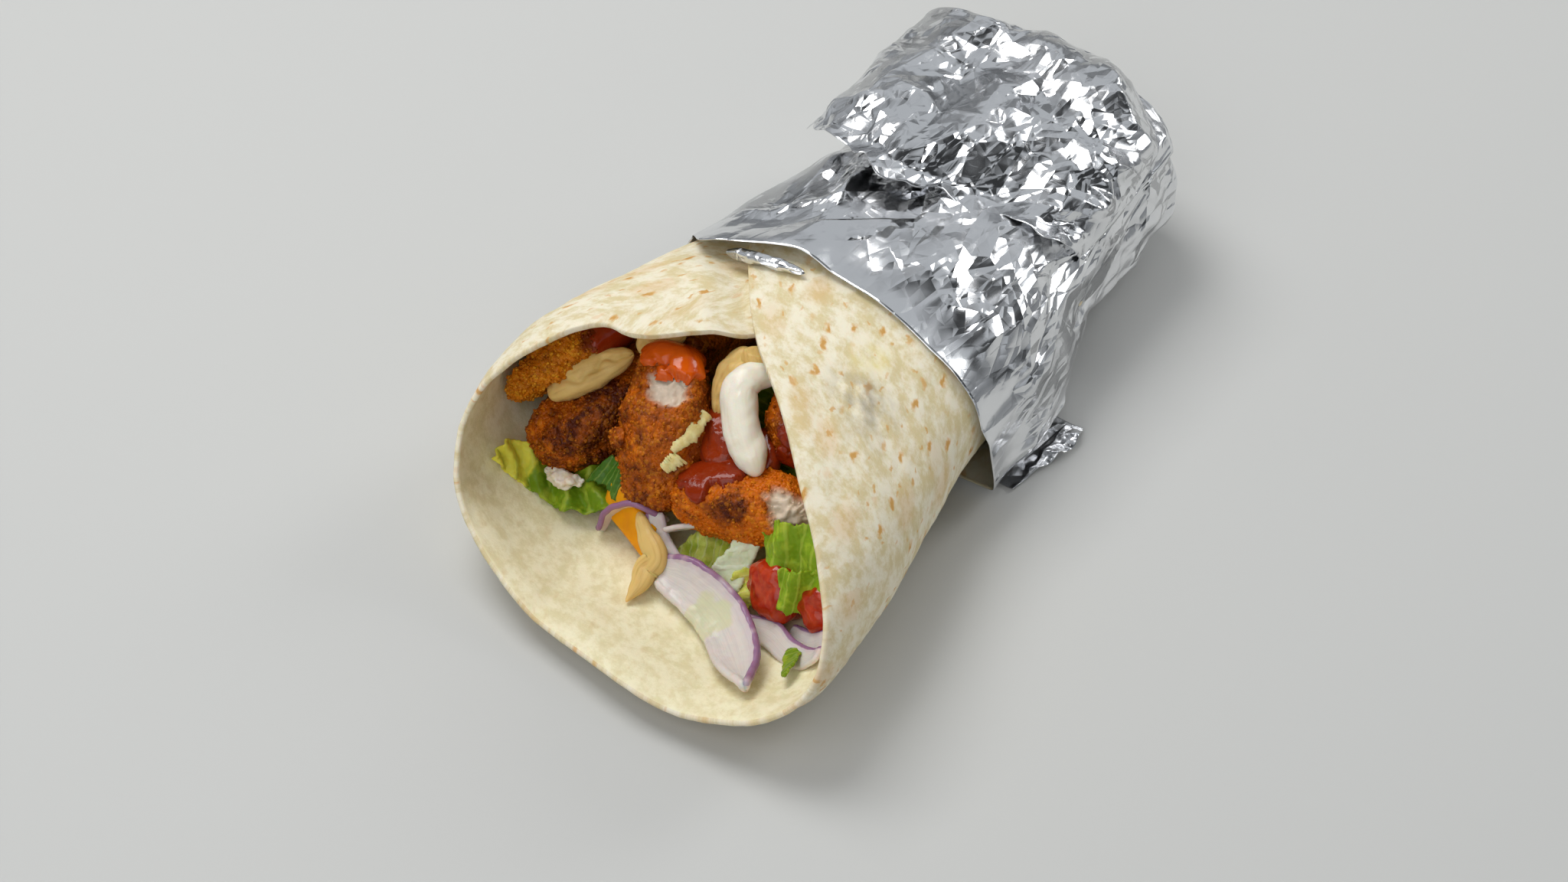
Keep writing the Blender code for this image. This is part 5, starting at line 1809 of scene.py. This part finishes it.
@dataclass
class Salad:
    """Lettuce, red onion, tomato and cheddar under the chicken. Each tomato has a spot of skin."""

    onions: tuple[Slice, ...] = (
        Slice("onion_large",
              ((2.5, -114, 6.5), (12.5, -114.5, 8), (26, -118.5, 7.5), (38, -128, 9.5), (46.5, -136.5, 13)),
              (7.5, 12, 12.5, 10, 1),
              ((-0.4, 0.8, 0.45), (-0.25, 0.73, 0.65), (0.13, 0.9, 0.42), (0.55, 0.8, 0.2), (0.6, 0.75, 0.1)),
              thickness=2.2, cup=1.0, frill=0.35, ragged=0.03, skin=(0.985, 1.0),
              tinge=(Spot((22, -121, 8), 6.5, 0.55),), seed=3, columns=150, rows=70),
        Slice("onion_arch", ((-21, -110, 4.5), (-19, -108, 10.5), (-13.3, -106, 15.2), (-8.5, -105, 15),
                             (-5, -103.5, 12.5)),
              (3, 4.5, 4.5, 4.5, 3), ((0, 0.7, -0.7),), thickness=1.6, frill=0.3, skin=(0.12, 0.05)),
        Slice("onion_strip", ((-6.6, -105, 14.5), (-3.7, -107.5, 10.5), (2.6, -110, 8.5), (6.5, -108.5, 7.5)),
              (3.5, 5, 5, 3), ((0.8, 0.4, 0.1),), thickness=1.6, frill=0.3, skin=(0.1, 0.04)),
        Slice("onion_thin", ((-1.8, -106.5, 13.2), (2.5, -104, 15), (7, -101.5, 16.5)), (1.5, 3, 1.5),
              ((0, 0.7, -0.7),), thickness=1.4, frill=0.2, skin=(0.85, 0.95)),
        Slice("onion_right_front",
              ((29, -114.5, 5), (37, -114, 6.5), (45, -117, 8), (52, -119, 11.5), (56, -119, 16)),
              (4.5, 6, 5.5, 5, 3), ((0, 0.85, 0.5),), thickness=1.5, frill=0.3, skin=(0.93, 0.98)),
        Slice("onion_right_back", ((41, -110.5, 6), (48, -112.5, 8.5), (54, -112, 14)), (4, 6, 5),
              ((0, 0.8, 0.6),), thickness=1.4, frill=0.3, skin=(0.93, 0.98)),
    )
    leaves: tuple[Shred, ...] = (
        Shred("lettuce_left", ((-50, -115, 20), (-45, -107.5, 12), (-32, -105, 9.5), (-19, -101, 12)),
              (6, 12, 15, 12), ((0, 1, 0.35),), waves=4.5, wave_depth=1.0, frill=1.1, ragged=0.12,
              tinge=(Spot((-50, -113, 18), 9.5, 0.85),), seed=11, columns=170, rows=60),
        Shred("lettuce_dark", ((-28, -101, 15), (-22, -101, 18), (-17, -103, 14)), (9, 10, 8),
              ((0.3, 0.6, 0.6),), waves=1.5, wave_depth=0.6, frill=1.0, ragged=0.12, seed=12,
              tone=Green.DARK),
        Shred("lettuce_middle", ((2, -105, 8), (9, -102.5, 9.5), (17, -102, 10.5)), (7, 9, 8),
              ((0, 0.85, 0.35),), waves=2.2, wave_depth=0.6, frill=1.2, ragged=0.15, seed=13,
              tone=Green.LIGHT),
        Shred("lettuce_rib", ((20, -98, 21), (20, -103, 15.5), (18.7, -107, 11), (19, -110.5, 7)),
              (5, 6, 8, 7), ((0.9, 0.2, -0.2),), thickness=1.4, waves=1.0, wave_depth=0.4, frill=0.6,
              ragged=0.1, seed=14, tone=Green.RIB),
        Shred("lettuce_frill", ((22, -104, 12), (24, -108, 8.5), (25, -111, 5)), (4, 6, 4),
              ((0.9, 0.3, 0.2),), waves=1.5, wave_depth=0.8, frill=1.2, ragged=0.2, seed=15,
              tone=Green.YELLOW),
        Shred("lettuce_right_upper", ((26, -102, 21), (34, -102, 24), (43, -100, 28)), (8, 15, 12),
              ((0.45, -0.35, -0.75),), waves=1.5, wave_depth=1.2, fold=1.6, frill=0.4, frill_size=9,
              ragged=0.12, seed=16, columns=120, rows=70, tone=Green.BRIGHT),
        Shred("lettuce_right_lower", ((36, -109, 18), (41, -108, 18.5), (48, -105, 22)), (9, 11, 8),
              ((0.25, -0.3, -0.85),), waves=1.5, wave_depth=1.0, fold=1.4, frill=0.4, frill_size=9,
              ragged=0.14, seed=17, columns=120, rows=60, tone=Green.BRIGHT),
        Shred("lettuce_sliver", ((46.3, -115, 8.8), (49, -121.5, 11.4), (52.3, -128.5, 14)), (4.5, 5, 1),
              ((0.75, 0, 0.6),), thickness=0.7, waves=1.0, wave_depth=0.3, frill=0.5, ragged=0.15, seed=18),
    )
    bed: Lump = Lump("lettuce_bed", ((0, -92, 11), (0, -50, 13), (0, 0, 14), (-4, 58, 24)), (34, 41, 36, 30),
                     flatness=0.27, squareness=0.6, lumps=0.06, seed=12, rows=150, segments=220)
    cheese: Slice = Slice("cheese_strip", ((-22, -104, 11.5), (-16.5, -105.5, 10.5), (-5.6, -109, 8.5)),
                          (7.5,), ((0, 0.45, 0.9),), thickness=2.6, frill=0.15, columns=60, rows=24)
    tomatoes: tuple[tuple[Lump, Spot], ...] = (
        (Lump("tomato_left", ((24, -103.5, 10), (32, -103.5, 11), (41, -104, 11)), (5, 8, 7.5), flatness=0.95,
              up=(0, 0.5, 0.85), squareness=0.6, lumps=0.05, seed=5, segments=80), Spot((36, -100, 3), 5)),
        (Lump("tomato_right", ((43, -106, 10), (47, -104, 14), (50, -100, 19)), (5, 6.5, 6), flatness=0.95,
              up=(0, 0.5, 0.85), squareness=0.6, lumps=0.05, seed=7, rows=70, segments=70),
         Spot((52, -103, 13), 7)),
    )

    def leaf_bed(self) -> Shape:
        """The heap of shredded lettuce that runs through the roll: a flat body torn into ridges.

        Returns:
            The closed body.
        """
        grid, normals, uv = self.bed.surface()
        noise = Noise(50)
        ridged = 1 - 2 * np.abs(noise(grid * (1, 0.5, 1.4), 7 * MM))
        depth = 1.5 * MM * ridged + 0.8 * MM * noise(grid, 3 * MM)
        return closed_body(pinched(ROLL.hold(grid + normals * depth[..., None])), uv * (6, 4))

    def tomato(self, lump: Lump, skin: Spot) -> Shape:
        """A wedge of tomato: wet ridged flesh, and smooth skin where it is painted.

        Args:
            lump: Its form.
            skin: Where its skin is.

        Returns:
            The closed wedge.
        """
        grid, normals, uv = lump.surface()
        noise = Noise(lump.seed + 20)
        skinned = spotted(grid, (skin,), noise, 0.1)
        depth = (0.6 * noise(grid, 3 * MM) + 0.3 * noise(grid, 1.4 * MM)) * (1 - skinned) * MM
        return closed_body(pinched(ROLL.hold(grid + normals * depth[..., None])), uv, {"skin": skinned})

    def dress(self) -> None:
        """Make each piece in its own finish."""
        greens = {tone: tone.value.make() for tone in Green}
        onion = RedOnion().make()
        for piece in self.onions:
            make_piece(f"{piece.name}_slice", piece.shape(), [onion], (piece.name,))
        for leaf in self.leaves:
            make_piece(f"{leaf.name}_leaf", leaf.shape(), [greens[leaf.tone]], (leaf.name,))
        make_piece("lettuce_bed_heap", self.leaf_bed(), [greens[Green.PLAIN]], (self.bed.name,))
        cheddar = SoftFlesh("cheddar", "F0A206", "E69206", "F0A206", roughness=0.42, cloud_size=5.0).make()
        make_piece("cheese_strip_cut", self.cheese.shape(), [cheddar], (self.cheese.name,))
        flesh = SoftFlesh("tomato", "BE3C16", "A0240C", "CC2402", roughness=0.12, cloud_size=2.5,
                          gloss=0.4).make()
        for lump, skin in self.tomatoes:
            make_piece(f"{lump.name}_wedge", self.tomato(lump, skin), [flesh], (lump.name,))


# ---- the studio


@dataclass
class Studio:
    """A pale floor, soft lights and a camera at the angle from which the wrap is shown.

    A lamp is given by its name, place, side in metres and power in watts. The sky's panels run from
    sky_low to sky_high, and it has sky_strength near the horizon.
    """

    camera_place: Place = (0.3735, -0.5546, 0.629)
    camera_tilt: float = math.radians(45)
    camera_turn: float = math.radians(37)
    lens: float = 76.27
    sensor: float = 36.0
    floor_size: float = 6.0
    floor_tone: str = "C9C9C6"
    floor_roughness: float = 0.7
    sky: str = "C8CCD0"
    sky_strength: float = 0.4
    sky_low: float = 0.06
    sky_high: float = 0.85
    panel_scale: float = 2.0
    aim: Place = (0, 0, 0.02)
    lamps: tuple[tuple[str, Place, float, float], ...] = (
        ("key", (-0.5, 0.1, 0.95), 0.6, 6.4),
        ("fill", (0.15, -0.95, 0.85), 1.1, 5.0),
        ("rim", (0.35, 0.95, 0.6), 0.45, 2.6),
    )

    def floor(self) -> None:
        """A wide flat floor just under the wrap."""
        side = 0.5 * self.floor_size
        mesh = bpy.data.meshes.new("floor")
        mesh.from_pydata([(-side, -side, 0), (side, -side, 0), (side, side, 0), (-side, side, 0)], [],
                         [(0, 1, 2, 3)])
        made, _, shader = new_material("studio_floor")
        fill(shader, {"Base Color": self.floor_tone, "Roughness": self.floor_roughness})
        mesh.materials.append(made)
        floor = bpy.data.objects.new("floor", mesh)
        bpy.context.scene.collection.objects.link(floor)

    def lights(self) -> None:
        """Square lamps that look at the middle of the wrap, under a sky of soft lighter and darker panels.

        The panels are overhead alone, and give the foil something to mirror.
        """
        for name, place, size, power in self.lamps:
            lamp = bpy.data.lights.new(name, "AREA")
            lamp.size = size
            lamp.energy = power
            holder = bpy.data.objects.new(name, lamp)
            holder.location = place
            aim = np.array(self.aim) - np.array(place)
            holder.rotation_euler = (math.atan2(math.hypot(aim[0], aim[1]), -aim[2]), 0,
                                     math.atan2(aim[1], aim[0]) - math.pi / 2)
            bpy.context.scene.collection.objects.link(holder)
        world = bpy.data.worlds.new("studio")
        world.use_nodes = True
        add = partial(add_node, world.node_tree)
        direction = add("TexCoord").outputs["Generated"]
        clouds = add("TexNoise", {"Vector": direction, "Scale": self.panel_scale, "Detail": 0})
        panels = add("MapRange", {"Value": clouds, "From Min": 0.4, "From Max": 0.6, "To Min": self.sky_low,
                                  "To Max": self.sky_high})
        height = add("SeparateXYZ", {"Vector": direction}).outputs["Z"]
        overhead = add("MapRange", {"Value": height, "From Min": 0.1, "From Max": 0.35})
        strength = add("Mix", {0: overhead, 2: self.sky_strength, 3: panels})
        fill(world.node_tree.nodes["Background"], {"Color": self.sky, "Strength": strength})
        bpy.context.scene.world = world

    def camera(self) -> None:
        """The camera, placed in the tables' frame."""
        lens = bpy.data.cameras.new("camera")
        lens.lens = self.lens
        lens.sensor_width = self.sensor
        holder = bpy.data.objects.new("camera", lens)
        holder.location = np.array(self.camera_place) - OBJECT_ORIGIN
        holder.rotation_euler = (self.camera_tilt, 0, self.camera_turn)
        bpy.context.scene.collection.objects.link(holder)
        bpy.context.scene.camera = holder
        bpy.context.scene.view_settings.view_transform = "Standard"

    def dress(self) -> None:
        """Set up the floor, the lights and the camera."""
        self.floor()
        self.lights()
        self.camera()


def main() -> None:
    """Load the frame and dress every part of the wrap."""
    logging.basicConfig(level=logging.INFO, format="%(name)s: %(message)s")
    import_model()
    for assembly in (Studio(), Tortilla(), FoilWrap(), Chicken(), Sauces(), Salad()):
        assembly.dress()


if __name__ == "__main__":
    main()
